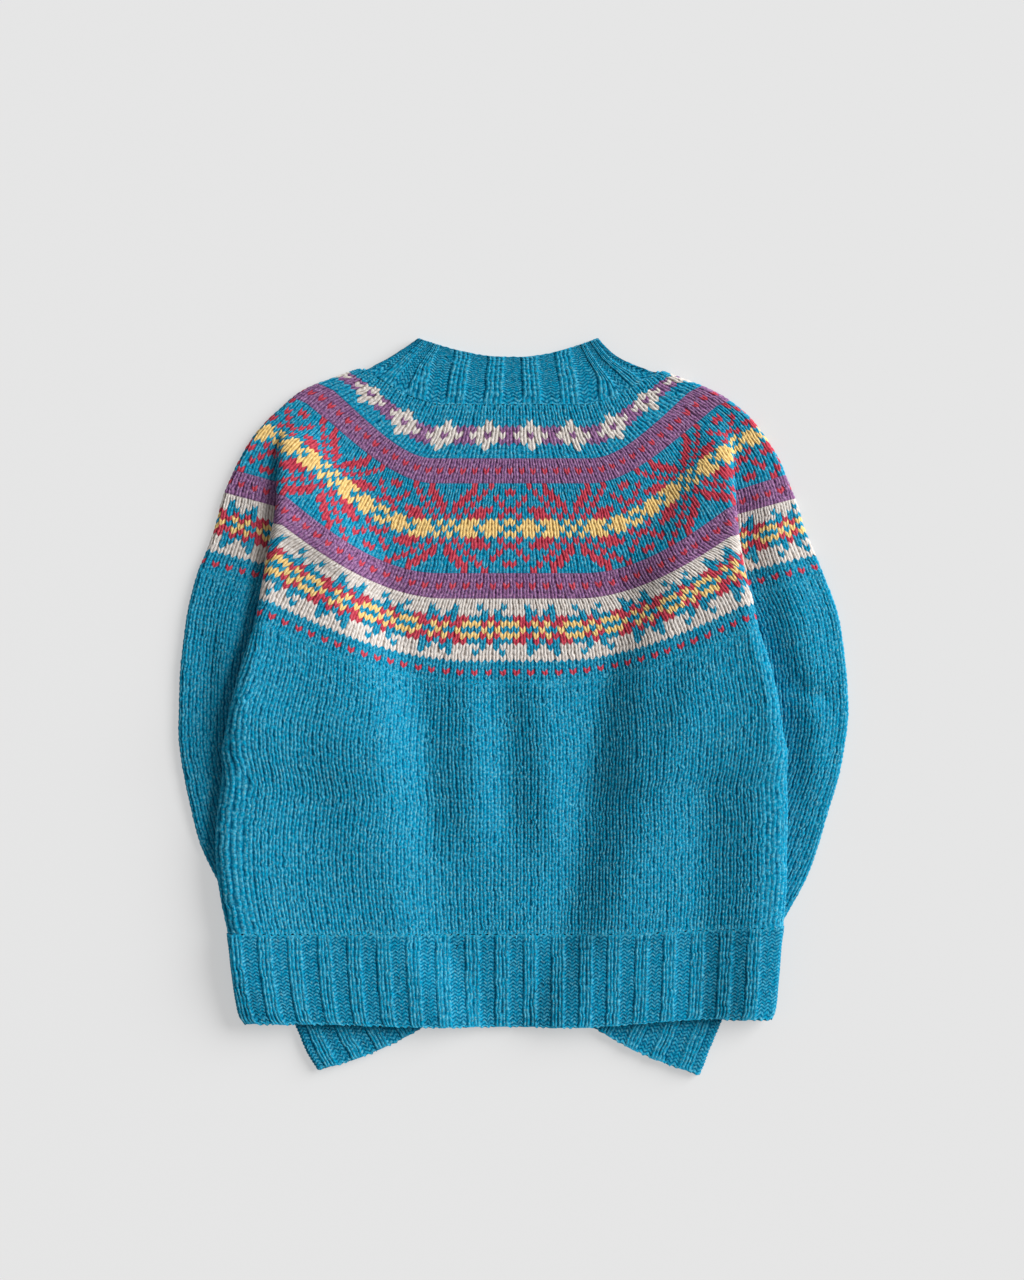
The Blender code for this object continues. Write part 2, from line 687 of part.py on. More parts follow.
yoke_rings = [ring(joined(yoke_half(row, "left"), yoke_half(row, "right"))) for row in YOKE_ROWS]
make_solid("yoke", yoke_rings, True, YOKE_COLOR)

body_rows = (first_body_row(),) + BODY_ROWS
first_leg = body_rows[0].leg
body_mids = [joined(body_half(row, "left", first_leg), body_half(row, "right", first_leg))
             for row in body_rows]
make_solid("body_front", [front_strip(mids) for mids in body_mids], False, TEAL)
make_solid("body_back", [back_strip(mids) for mids in body_mids], False, TEAL_SHADE)

hem_shares = rib_shares(HEM_RIBS, HEM_FIRST_RIB, HEM_LAST_RIB)
make_solid("hem_front", hem_lines(front_strip, hem_shares), False, TEAL)
plain_shares = [(share, 0.0) for share in spread(-1.0, 1.0, BACK_HEM_STEPS)]
make_solid("hem_back", hem_lines(back_strip, plain_shares), False, TEAL_SHADE)

collar_shares = rib_shares(COLLAR_RIBS, COLLAR_END_RIB, COLLAR_END_RIB)
make_solid("collar", [ring(collar_mids(row, collar_shares)) for row in COLLAR_ROWS], True, TEAL)

cuff_shares = rib_shares(CUFF_RIBS, CUFF_END_RIB, CUFF_END_RIB)
for side, sleeve_rows, cuff_rows in (("left", LEFT_SLEEVE_ROWS, LEFT_CUFF_ROWS),
                                     ("right", RIGHT_SLEEVE_ROWS, RIGHT_CUFF_ROWS)):
    slope, tuck_end = yoke_tuck_slope(side)
    edge = getattr(YOKE_ROWS[-1], side)
    head = SleeveRow(edge.outer_x, edge.outer_y - SEAM_GAP, 0, 0, YOKE_ROWS[-1].turn,
                     first_leg, YOKE_ROWS[-1].puff)
    mids = [sleeve_mids(head, side, tuck_end, slope)]
    mids += [sleeve_mids(row, side, None, slope) for row in sleeve_rows]
    make_solid("sleeve_" + side, [ring(placed(points, side)) for points in mids], True, TEAL_SHADE)
    cuff_rings = []
    for row in cuff_rows:
        onward = SEAM_GAP if row is cuff_rows[0] else 0.0
        bow = CUFF_BOW if row is cuff_rows[-1] else 0.0
        cuff_rings.append(ring(placed(cuff_mids(row, onward, bow, cuff_shares), side)))
    make_solid("cuff_" + side, cuff_rings, True, TEAL)
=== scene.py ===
# Round-yoke wool jumper laid flat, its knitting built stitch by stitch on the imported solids.
import math
from collections import namedtuple

import bmesh
import bpy
import numpy as np
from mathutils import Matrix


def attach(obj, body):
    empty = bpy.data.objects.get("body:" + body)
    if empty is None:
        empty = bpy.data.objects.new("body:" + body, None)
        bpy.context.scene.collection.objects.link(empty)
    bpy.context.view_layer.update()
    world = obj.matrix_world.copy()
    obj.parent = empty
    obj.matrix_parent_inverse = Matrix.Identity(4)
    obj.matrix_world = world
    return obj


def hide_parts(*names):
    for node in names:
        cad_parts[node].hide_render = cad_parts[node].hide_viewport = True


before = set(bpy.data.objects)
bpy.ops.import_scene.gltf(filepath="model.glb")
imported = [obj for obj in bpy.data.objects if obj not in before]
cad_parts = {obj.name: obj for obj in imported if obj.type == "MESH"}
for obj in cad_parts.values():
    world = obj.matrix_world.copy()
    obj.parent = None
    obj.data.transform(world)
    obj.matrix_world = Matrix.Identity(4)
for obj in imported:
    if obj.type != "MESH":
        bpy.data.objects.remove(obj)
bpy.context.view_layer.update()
mm = 0.001
nearZero = 1e-9

# The tables below are in millimetres: x outward from the centre line of the body,
# y toward the neck, z up from the surface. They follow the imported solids.
cloth = {
    "wall": 2.4,
    "band": 5.6,             # two walls and the gap between them
    "layerGap": 0.8,
    "rollShare": 0.35,       # how tightly the armhole fold closes
    "frontLift": 2.0,        # how far the front stands off the back, more beside its folded edges
    "edgeRound": 1.6,
    "edgeRoundWidth": 12.0,
    "edgeFlatten": 0.4,      # share of the lift that the edge loses at its end
    "edgeSquare": 5.0,       # 2 is a round fold, more has flatter faces
    "settleStart": 14.0,     # how far beside a sleeve the body starts to come down, and then how
    "settleLength": 48.0,    # far on it lies on the surface
    "hemLiftShare": 0.5,
    "collarLift": 1.5,
    "sideSeamAngle": 86.0,   # where front and back meet round a side edge, from the top
    "cuffBow": 3.5,          # how far the end of a cuff bows out
    "hiddenLeast": 0.2,      # least and most of a sleeve's width that counts as under the body
    "hiddenMost": 0.8,
}
halfBand = cloth["band"] / 2
sides = ("left", "right")
# A face of the cloth: where it starts and ends round the folded edges, in degrees from the
# top, and how far it lies inside the outer skin.
tubeFaces = {
    "front": (0, 120, 0.0),
    "back": (180, 140, 0.0),
    "frontInside": (0, 90, cloth["wall"]),
    "backInside": (180, 90, cloth["wall"]),
}
seam = cloth["sideSeamAngle"]
topFaces = {"outer": (0, seam, 0.0), "inner": (0, seam, cloth["wall"])}
underFaces = {"outer": (180, 180 - seam, 0.0), "inner": (180, 180 - seam, cloth["wall"])}
# steps along a section: over the body, round a turn of the fold, on its straight part,
# over the hidden and the shown part of a sleeve, and round an edge
fineSteps = {"body": 28, "arc": 8, "leg": 4, "hidden": 6, "shown": 14, "cap": 10}
coarseSteps = {"body": 8, "arc": 4, "leg": 2, "hidden": 2, "shown": 4, "cap": 4}

YokeRow = namedtuple("YokeRow", (
    "centreY turn leg puff bendStart bendEnd "
    "leftCreaseX leftCreaseY leftTuckY leftOuterX leftOuterY "
    "rightCreaseX rightCreaseY rightTuckY rightOuterX rightOuterY"))
yokeRows = (
    YokeRow(243, 0, 1, 1.5, 0.55, 1.20, 100, 257, 266, 124, 272, 98, 257, 265, 121, 270),
    YokeRow(216, 0, 1, 2.0, 0.58, 1.05, 115, 247, 259, 138, 267, 112, 246, 258, 134, 265),
    YokeRow(190, 0, 1, 2.5, 0.42, 1.55, 144, 241, 250, 168, 255, 141, 238, 248, 163, 253),
    YokeRow(167, 12, 1, 3.0, 0.40, 1.30, 168, 229, 235, 187, 240, 165, 225, 232, 186, 237),
    YokeRow(144, 55, 1, 3.5, 0.38, 1.15, 187, 217, 219, 205, 222, 176, 208, 213, 200, 220),
    YokeRow(121, 100, 1, 4.5, 0.34, 1.60, 189, 190, 194, 218, 202, 178, 181, 187, 213, 200),
    YokeRow(97, 150, 2, 5.5, 0.30, 2.30, 190, 164, 169, 228, 181, 180, 153, 162, 223, 176),
    YokeRow(79, 180, 12, 6.0, 0.26, 2.30, 194, 141, 149, 234, 165, 182, 133, 143, 229, 161),
    YokeRow(61, 180, 24, 6.0, 0.22, 2.30, 198, 118, 131, 238, 149, 185, 114, 125, 233, 146),
    YokeRow(44, 180, 30, 6.0, 0.18, 2.40, 201.5, 97, 113, 243, 133, 190, 93, 108, 240, 129),
    YokeRow(19, 180, 33, 6.0, 0.14, 2.50, 206, 69, 86, 253, 109, 195, 65, 81, 250, 105),
)
BodyRow = namedtuple("BodyRow", "centreY turn leg level leftCreaseX leftCreaseY rightCreaseX rightCreaseY")
bodyRows = (
    BodyRow(19, 180, 13.5, 12.8, 206, 69, 195, 65),
    BodyRow(2, 180, 9, 13.0, 213, 46, 202, 42),
    BodyRow(-18, 165, 2, 13.0, 219, 21, 208, 18),
    BodyRow(-39, 105, 1, 13.0, 224.5, -5, 212, -7),
    BodyRow(-62, 40, 1, 11.0, 230, -32, 217, -34),
    BodyRow(-83, 0, 1, 8.0, 233, -59, 219, -59),
    BodyRow(-106, 0, 1, 6.8, 237, -87, 220, -86),
    BodyRow(-128, 0, 1, 6.6, 238, -114, 219, -114),
    BodyRow(-154, 0, 1, 6.8, 235, -146, 219, -144),
    BodyRow(-182, 0, 1, 7.4, 228, -181, 216, -175),
)
hemRows = (
    bodyRows[-1],
    BodyRow(-210, 0, 1, 8.0, 226, -208, 214, -202),
    BodyRow(-248, 0, 1, 8.0, 221, -243, 211, -239),
    BodyRow(-256, 0, 1, 8.0, 216, -253, 208, -249),
)
bodyBends = ((0.14, 2.5), (0.05, 2.2))     # at the first row, and lower than bodyBendReach
bodyBendReach = 100.0
hemBends = ((0.05, 2.2), (0.05, 2.2), (0.15, 1.2), (0.2, 0.8))
CollarRow = namedtuple("CollarRow", "centreY bendStart bendEnd ribPitch leftX leftY rightX rightY")
collarRows = (
    CollarRow(243, 0.55, 1.30, 31.0, 124, 272, 121, 270),
    CollarRow(254, 0.50, 1.30, 30.0, 107, 278, 100, 275),
    CollarRow(265, 0.35, 1.60, 28.5, 93, 286, 83, 283),
    CollarRow(275, 0.20, 2.00, 26.5, 82, 293, 74, 291),
    CollarRow(281.2, 0.06, 2.20, 25.5, 77, 296.5, 69, 296.5),
)
SleeveRow = namedtuple("SleeveRow", "outerX outerY innerX innerY turn leg puff")
sleeveRows = {
    "left": (
        SleeveRow(260, 83, 151, 62, 180, 7, 6.5),
        SleeveRow(264, 57, 142, 38, 180, 2, 7.0),
        SleeveRow(267, 29, 134, 14, 110, 1, 7.0),
        SleeveRow(268, 1, 130, -7, 40, 1, 7.0),
        SleeveRow(268, -27, 127, -27, 0, 1, 7.0),
        SleeveRow(264, -55, 126, -48, 0, 1, 6.5),
        SleeveRow(258, -83, 124, -69, 0, 1, 5.5),
        SleeveRow(250, -112, 122, -90, 0, 1, 4.0),
        SleeveRow(234, -145, 119, -114, 0, 1, 2.0),
        SleeveRow(211, -190, 113, -154, 0, 1, 0.0),
        SleeveRow(189, -231, 105, -197, 0, 1, 0.0),
    ),
    "right": (
        SleeveRow(260, 78, 143, 57, 180, 7, 6.5),
        SleeveRow(265, 50, 134, 33, 180, 2, 7.0),
        SleeveRow(268, 22, 127, 9, 110, 1, 7.0),
        SleeveRow(269, -6, 123, -11, 40, 1, 7.0),
        SleeveRow(266, -31, 121, -32, 0, 1, 7.0),
        SleeveRow(261, -57, 119, -53, 0, 1, 6.5),
        SleeveRow(253, -83, 118, -74, 0, 1, 5.5),
        SleeveRow(244, -114, 114, -96, 0, 1, 4.5),
        SleeveRow(232, -144, 110, -120, 0, 1, 3.0),
        SleeveRow(203, -194, 102, -158, 0, 1, 0.0),
        SleeveRow(178, -234, 90, -194, 0, 1, 0.0),
    ),
}
cuffRows = {
    "left": (
        sleeveRows["left"][-1],
        SleeveRow(175, -255, 92, -221, 0, 1, 0.3),
        SleeveRow(166, -276, 82, -241, 0, 1, 0.6),
        SleeveRow(157, -291, 73, -257, 0, 1, 0.4),
    ),
    "right": (
        sleeveRows["right"][-1],
        SleeveRow(169, -249, 81, -214, 0, 1, 0.3),
        SleeveRow(159, -272, 71, -235, 0, 1, 0.6),
        SleeveRow(150, -295, 62, -255, 0, 1, 0.4),
    ),
}

# How a sleeve swells: away from the body, and down again to its outer edge.
swells = {
    "left": {"share": 0.9, "riseWidth": 20.0, "edgeWidth": 52.0, "edgeShare": 0.9},
    "right": {"share": 1.0, "riseWidth": 34.0, "edgeWidth": 32.0, "edgeShare": 0.75},
}

# Long soft folds of the front; x is negative on the left here.
Fold = namedtuple("Fold", "startX startY endX endY height width")
folds = (
    Fold(-154, 62, -110, -160, 2.0, 22),
    Fold(-79, 44, -65, -140, -2.3, 16),
    Fold(-38, 52, -29, -135, 2.6, 15),
    Fold(-11, 48, 1, -135, -2.5, 14),
    Fold(20, 46, 32, -140, 2.5, 15),
    Fold(88, 75, 34, -215, -3.4, 18),
    Fold(160, 75, 72, -215, 3.4, 22),
    Fold(152, 112, 88, -60, -2.4, 20),
    Fold(156, -20, 146, -320, -3.4, 18),
    Fold(200, -10, 188, -320, 3.0, 15),
    Fold(208, 150, 204, -380, 4.0, 62),
    Fold(-218, 110, -216, -300, 5.0, 42),
    Fold(146, 236, 108, 110, -1.8, 16),
    Fold(-120, 190, -150, 90, 1.2, 24),
)
sleeveFolds = (
    Fold(212, 20, 262, 4, -3.0, 9),
    Fold(-242, 70, -246, -40, -2.0, 9),
)
foldFade = 0.28


# An eased step from 0 to 1, of one number or of an array.
def smooth(share):
    share = min(1.0, max(0.0, share))
    return share * share * (3 - 2 * share)


def ease(share):
    share = np.clip(share, 0, 1)
    return share * share * (3 - 2 * share)


def bend(share, start, end):
    whole = smooth((1 - start) / (end - start))
    return smooth((share - start) / (end - start)) / whole


def spread(first, last, steps):
    return [first + (last - first) * step / steps for step in range(steps + 1)]


def foldHeight(x, y, table=folds):
    total = 0.0
    for fold in table:
        runX = fold.endX - fold.startX
        runY = fold.endY - fold.startY
        length = math.hypot(runX, runY)
        along = ((x - fold.startX) * runX + (y - fold.startY) * runY) / length ** 2
        across = ((x - fold.startX) * runY - (y - fold.startY) * runX) / length
        fade = smooth(along / foldFade) * smooth((1 - along) / foldFade)
        total += fold.height * fade * math.exp(-(across / fold.width) ** 2)
    return total


def rowAt(rows, place):
    # one row between the rows of a table, on a smooth curve through them
    last = len(rows) - 1
    index = min(int(place), last - 1)
    part = place - index
    here = np.array(rows[index], float)
    after = np.array(rows[index + 1], float)
    before = np.array(rows[index - 1], float) if index > 0 else 2 * here - after
    beyond = np.array(rows[index + 2], float) if index + 2 <= last else 2 * after - here
    found = here + 0.5 * part * (after - before + part * (
        2 * before - 5 * here + 4 * after - beyond + part * (3 * (here - after) + beyond - before)))
    row = type(rows[0])(*found)
    if "turn" in row._fields:
        row = row._replace(turn=min(180.0, max(0.0, row.turn)), leg=max(1.0, row.leg))
    return row


def arc(turnFrom, turnTo, steps):
    # moves (out, down, angle) that swing the cloth from one heading to another
    count = steps["arc"]
    whole = sum(math.sin(math.pi * (step + 0.5) / count) for step in range(count))
    length = (cloth["band"] + cloth["layerGap"]) / whole
    length *= 1 - cloth["rollShare"] * math.sin(max(turnFrom, turnTo))
    moves = []
    for step in range(count):
        middle = turnFrom + (turnTo - turnFrom) * (step + 0.5) / count
        angle = turnFrom + (turnTo - turnFrom) * (step + 1) / count
        moves.append((length * math.cos(middle), length * math.sin(middle), angle))
    return moves


def leg(angle, length, steps):
    piece = length / steps["leg"]
    return [(piece * math.cos(angle), piece * math.sin(angle), angle)] * steps["leg"]


def travel(moves):
    out = down = path = 0.0
    places = []
    for moveOut, moveDown, angle in moves:
        out += moveOut
        down += moveDown
        path += math.hypot(moveOut, moveDown)
        places.append((out, down, angle, path))
    return places


def roundEdge(x, creaseX):
    return cloth["edgeRound"] * math.exp(-((creaseX - x) / cloth["edgeRoundWidth"]) ** 2)


def squared(angle):
    # how much further out a fold with flat faces reaches than a round one
    if angle > math.pi / 2:
        return 1.0
    power = cloth["edgeSquare"]
    return (math.sin(angle) ** power + math.cos(angle) ** power) ** (-1 / power)


def tuckOf(row, steps, whole=True):
    # how far a fold under the body turns and the places along it, out again at its end if whole
    turn = math.radians(row.turn)
    moves = arc(0, turn, steps) + leg(turn, row.leg, steps)
    if whole:
        moves += arc(turn, 0, steps)
    return turn, travel(moves)


def creaseReach(tuck):
    # how far out the front of the body's fold reaches
    lift = cloth["frontLift"] + cloth["edgeRound"]
    return max(out + (halfBand + lift * (1 - angle / math.pi)) * math.sin(angle)
               for out, down, angle, path in tuck)


def tuckReach(turn, tuck):
    # how far in a sleeve's tucked edge reaches
    reach = max(out + halfBand * math.sin(angle) for out, down, angle, path in tuck)
    return max(reach, tuck[-1][0] + halfBand * math.cos(turn))


def side(row, name, field):
    return getattr(row, name + field)


def tuckStart(row, name, steps):
    tuck = tuckOf(row, steps)[1]
    startX = side(row, name, "CreaseX") - creaseReach(tuck[:steps["arc"]])
    inner = min(out - halfBand * math.sin(angle) for out, down, angle, path in tuck)
    return startX, startX + min(0.0, inner)


def creaseTable(name):
    rows = yokeRows + bodyRows[1:]
    return [(side(row, name, "CreaseY"), side(row, name, "CreaseX")) for row in rows]


def innerTable(name):
    table = [(side(row, name, "TuckY"), tuckStart(row, name, coarseSteps)[1])
             for row in yokeRows if row.turn]
    return table + [(row.innerY, row.innerX) for row in sleeveRows[name] + cuffRows[name][1:]]


def outerTable(name):
    return [(row.outerY, row.outerX) for row in sleeveRows[name] + cuffRows[name][1:]]


def rising(table):
    return tuple(np.array(column, float)[::-1] for column in zip(*table))


creases = {name: rising(creaseTable(name)) for name in sides}
innerEdges = {name: rising(innerTable(name)) for name in sides}
outerEdges = {name: rising(outerTable(name)) for name in sides}


def sleeveSwell(name, x, y, puff, outerX):
    swell = swells[name]
    shown = x - np.interp(y, *creases[name])
    rise = smooth(shown / swell["riseWidth"])
    edge = smooth((x - outerX + swell["edgeWidth"]) / swell["edgeWidth"])
    fold = foldHeight(-x if name == "left" else x, y, sleeveFolds) * rise
    return max(0.0, puff * swell["share"] * rise * (1 - swell["edgeShare"] * edge) + fold)


def support(name, x, y, level):
    # height of the cloth under the body
    run = cloth["settleStart"] + cloth["settleLength"]
    inner = smooth((x - np.interp(y, *innerEdges[name]) + run) / cloth["settleLength"])
    outer = smooth((np.interp(y, *outerEdges[name]) + run - x) / cloth["settleLength"])
    return level * inner * outer


# A middle line is an array of rows: x y z, normal x y z, height above, height below.
def midPoint(x, y, z, angle, across, above, below=halfBand):
    lean = math.sin(angle)
    return (x, y, z, across[0] * lean, across[1] * lean, math.cos(angle), above, below)


def unit(runX, runY):
    length = math.hypot(runX, runY)
    return runX / length, runY / length


def sleevePlaces(name, startX, startY, endX, endY, steps):
    # places along a sleeve, one of them at the crease of the body that covers it
    tries = 60
    share = 0.0
    for step in range(1, tries):
        x = startX + (endX - startX) * step / tries
        y = startY + (endY - startY) * step / tries
        if x <= np.interp(y, *creases[name]):
            share = step / tries
    share = min(max(share, cloth["hiddenLeast"]), cloth["hiddenMost"])
    shares = spread(0, share, steps["hidden"]) + spread(share, 1, steps["shown"])[1:]
    return [(startX + (endX - startX) * part, startY + (endY - startY) * part) for part in shares]


def overBody(row, name, steps, startX, rowY, level, rounded=1):
    # a section from the centre line to the fold, and where and how high its front is there
    creaseX = side(row, name, "CreaseX")
    mids = []
    for x in spread(0, startX, steps["body"]):
        y = rowY(x)
        z = halfBand + support(name, x, y, level)
        above = halfBand + cloth["frontLift"] + roundEdge(x, creaseX) * rounded
        above += foldHeight(-x if name == "left" else x, y)
        mids.append(midPoint(x, y, z, 0, (1, 0), above))
    return mids, mids[-1][1], mids[-1][2], mids[-1][6] - halfBand


def yokeHalf(row, name, steps):
    creaseX, creaseY = side(row, name, "CreaseX"), side(row, name, "CreaseY")
    outerX, outerY = side(row, name, "OuterX"), side(row, name, "OuterY")
    startX = tuckStart(row, name, steps)[0]
    turn, tuck = tuckOf(row, steps)
    spare = cloth["frontLift"] * (1 - turn / math.pi)

    def rowY(x):
        return row.centreY + (creaseY - row.centreY) * bend(x / creaseX, row.bendStart, row.bendEnd)

    mids, startY, startZ, startAbove = overBody(row, name, steps, startX, rowY, tuck[-1][1], turn / math.pi)
    slope = (side(row, name, "TuckY") - startY) / tuck[-1][3]
    for out, down, angle, path in tuck:
        above = (halfBand + startAbove * (1 - angle / math.pi)) * squared(angle)
        if path > tuck[steps["arc"] - 1][3]:
            above = halfBand + spare
        mids.append(midPoint(startX + out, startY + slope * path, startZ - down, angle, (1, 0), above))
    endX, endY = mids[-1][:2]
    run = unit(outerX - endX, outerY - endY)
    lastX = outerX - halfBand * run[0]
    lastY = outerY - halfBand * run[1]
    for x, y in sleevePlaces(name, endX, endY, lastX, lastY, steps)[1:]:
        swell = sleeveSwell(name, x, y, max(row.puff - spare, 0), outerX)
        mids.append(midPoint(x, y, halfBand, 0, run, halfBand + spare + swell))
    return mids


def tuckSlope(name, steps):
    # climb of the last yoke row along its hidden fold, and where that fold ends
    row = yokeRows[-1]
    mids = yokeHalf(row, name, steps)
    start = mids[steps["body"]]
    end = mids[steps["body"] + 2 * steps["arc"] + steps["leg"]]
    path = tuckOf(row, steps)[1][-1][3]
    return (end[1] - start[1]) / path, end


def bodyHalf(row, name, steps, slopes):
    creaseX, creaseY = side(row, name, "CreaseX"), side(row, name, "CreaseY")
    turn, tuck = tuckOf(row, steps, False)
    reach = max(creaseReach(tuck), tuck[-1][0] + halfBand * math.cos(turn))
    startX = creaseX - reach
    slope = slopes[name][0] * (row.leg - 1) / (bodyRows[0].leg - 1)

    def rowY(x):
        lower = smooth((bodyRows[0].centreY - row.centreY) / bodyBendReach)
        start, end = (high + (low - high) * lower for high, low in zip(*bodyBends))
        return row.centreY + (creaseY - row.centreY) * bend(x / creaseX, start, end)

    mids, startY, startZ, startAbove = overBody(row, name, steps, startX, rowY, row.level)
    straight = 1 - turn / math.pi
    for out, down, angle, path in tuck:
        x = startX + out
        y = startY + slope * path + (rowY(x) - startY) * straight
        above = (halfBand + startAbove * (1 - angle / math.pi)) * squared(angle)
        above -= startAbove * cloth["edgeFlatten"] * smooth(out / reach) ** 2 * straight
        sag = (startZ - halfBand - support(name, x, y, row.level)) * straight
        mids.append(midPoint(x, y, startZ - down - sag, angle, (1, 0), above))
    return mids


def sleeveHalf(row, name, steps, slopes):
    # from the outer edge round to the end of the tucked edge
    turn, tuck = tuckOf(row, steps, False)
    reach = tuckReach(turn, tuck)
    run = unit(row.innerX - row.outerX, row.innerY - row.outerY)
    startX = row.innerX - run[0] * reach
    startY = row.innerY - run[1] * reach
    lastX = row.outerX + halfBand * run[0]
    lastY = row.outerY + halfBand * run[1]
    mids = []
    for x, y in reversed(sleevePlaces(name, startX, startY, lastX, lastY, steps)):
        swell = sleeveSwell(name, x, y, row.puff, row.outerX)
        mids.append(midPoint(x, y, halfBand, 0, run, halfBand + swell))
    share = row.turn / 180
    climb = run[1] + (-slopes[name][0] - run[1]) * share
    across = unit(run[0] + (-1 - run[0]) * share, run[1] * (1 - share))
    for out, up, angle, path in tuck:
        mids.append(midPoint(startX + across[0] * out, startY + climb * path, halfBand + up,
                             -angle, across, halfBand))
    return mids


def flipped(mids, name):
    # the middle line as an array, on its own side of the body
    mids = np.array(mids, float)
    if name == "left":
        mids[:, 0] *= -1
        mids[:, 3] *= -1
    return mids


def joinedHalves(half):
    return np.vstack([flipped(half("left"), "left")[::-1][:-1], flipped(half("right"), "right")])


def capPoints(mid, near, angles, thinner):
    # rounded end of a double layer
    mid, near = np.array(mid), np.array(near)
    direction = mid[:3] - near[:3]
    direction /= np.linalg.norm(direction)
    points = []
    for angle in angles:
        turn = math.radians(angle)
        height = mid[6] if angle < 90 else mid[7]
        points.append(mid[:3] + direction * (halfBand - thinner) * math.sin(turn)
                      + mid[3:6] * (height - thinner) * math.cos(turn))
    return np.array(points)


tableSteps = {"surface": 8, "level": 12}    # places read between two rows of a table


def rowTable(rows, perRow=tableSteps["surface"]):
    return [place / perRow for place in range((len(rows) - 1) * perRow + 1)]


class Surface:
    # a smooth skin, read at any row place and share. It is made of lines of points from one end
    # of a piece to the other, with shares from -1 to 1 along each
    samples = 1400
    tiny = 1e-6

    def __init__(self, rowPlaces, lines, shares):
        grid = []
        self.share = np.linspace(-1, 1, self.samples)
        for line, share in zip(lines, shares):
            grid.append(np.stack([np.interp(self.share, share, line[:, axis]) for axis in range(3)], 1))
        grid = np.array(grid)
        first = 2 * grid[0] - grid[1]
        last = 2 * grid[-1] - grid[-2]
        self.grid = np.concatenate([first[None], grid, last[None]])
        places = list(rowPlaces)
        self.places = np.array([2 * places[0] - places[1]] + places + [2 * places[-1] - places[-2]])
        down = np.gradient(self.grid, axis=0)
        along = np.gradient(self.grid, axis=1)
        normal = np.cross(down, along)
        length = np.linalg.norm(normal, axis=2, keepdims=True)
        self.normal = normal / np.maximum(length, nearZero)
        self.outward = 1.0 if self.normal[..., 2].mean() > 0 else -1.0

    def read(self, place, share):
        last = len(self.places) - 1
        row = np.clip(np.interp(place, self.places, np.arange(last + 1.0)), 0, last - self.tiny)
        column = np.clip((share + 1) / 2 * (self.samples - 1), 0, self.samples - 1 - self.tiny)
        rowIndex, columnIndex = row.astype(int), column.astype(int)
        rowPart = (row - rowIndex)[..., None]
        columnPart = (column - columnIndex)[..., None]
        found = []
        for table in (self.grid, self.normal):
            low, high = (table[at, columnIndex] * (1 - columnPart) + table[at, columnIndex + 1] * columnPart
                         for at in (rowIndex, rowIndex + 1))
            found.append(low * (1 - rowPart) + high * rowPart)
        return found


def lengths(line):
    return np.concatenate([[0], np.cumsum(np.linalg.norm(np.diff(line, axis=0), axis=1))])


def faceLine(mids, start, end, thinner):
    # the upper face, from 0 degrees, or the lower one, from 180, and round both its edges
    angles = spread(start, end, fineSteps["cap"])[1:]
    sign, height = (1, mids[:, 6:7]) if start == 0 else (-1, mids[:, 7:8])
    return np.vstack([capPoints(mids[0], mids[1], angles, thinner)[::-1],
                      mids[:, :3] + sign * mids[:, 3:6] * (height - thinner),
                      capPoints(mids[-1], mids[-2], angles, thinner)])


def evenShares(line, centre):
    # shares by length, 0 at one vertex of the line and 1 and -1 at its ends
    path = lengths(line)
    path -= path[centre]
    return np.where(path < 0, path / max(-path[0], nearZero), path / max(path[-1], nearZero))


def givenShares(line, midShares):
    # the shares of the middle line, carried on by length round both ends
    path = lengths(line)
    extra = (len(line) - len(midShares)) // 2
    shares = np.zeros(len(line))
    shares[extra:len(line) - extra] = midShares
    scale = (midShares[-1] - midShares[0]) / (path[-1 - extra] - path[extra])
    shares[:extra] = midShares[0] + (path[:extra] - path[extra]) * scale
    shares[len(line) - extra:] = midShares[-1] + (path[len(line) - extra:] - path[-1 - extra]) * scale
    return shares


# One stitch of the knitted skins. Heights are in millimetres over the smooth skin.
stitch = {
    "columns": (0.0, 0.18, 0.36, 0.5, 0.64, 0.82),    # places of the vertices across one stitch
    "profile": (0.0, 0.88, 0.96, 0.3, 0.96, 0.88, 0.0),  # how plump the two legs are there
    "lines": (0.0, 0.33, 0.67),            # places of the vertices up one stitch
    "ribLines": (0.0, 0.25, 0.5, 0.75),    # and in a rib
    "crest": 0.5,
    "valley": -1.12,
    "groove": 0.67,         # share of the plumpness left between two rows
    "slant": 0.28,          # rise of a leg from the middle of a stitch, in rows
    "yokeSlant": 0.36,
    "closed": 0.5,          # how far a gap between two legs may close
    "purlDepth": -0.75,
    "purlRise": 0.95,
    "purlWave": 0.17,       # rise of the purl ridges in the middle of a stitch, in rows
    "uneven": 0.12,         # random height of single stitches
    "wander": 0.06,         # random shift of single stitches, in stitches
    "rowWander": 0.6,       # share of that shift along the other way
    "purlDeep": 0.1,        # painted shade between the purl ridges, where 0 is deep and 1 on top
    "purlLit": 0.8,         # how much lighter the ridges are painted, painted light on their tops
    "ribHeight": 0.6,
    "ribReach": 1.16,       # stitches from the middle of a rib to the foot of its side
    "ribSide": 0.32,        # stitches over which its side rises
    "meetReach": 0.6,       # rows of the table over which a rib comes level with its neighbour
    "borderReach": 0.5,     # rows over which the stitches level out at a border of a piece
    "borderDepth": 0.65,    # and the least depth that they keep there, which caps their painted shade
}
yarnOrder = "BPRYC"         # the letters of the charts, in the order of yarnNames
islandGap = 0.004           # width of an edge's strip in the flat map
lineFields = ("numbers", "uv", "stitches")
shapeRandom = np.random.default_rng(6734)

# vertex numbers, their places along the line, in the flat map and counted in stitches
Line = namedtuple("Line", "numbers at uv stitches")


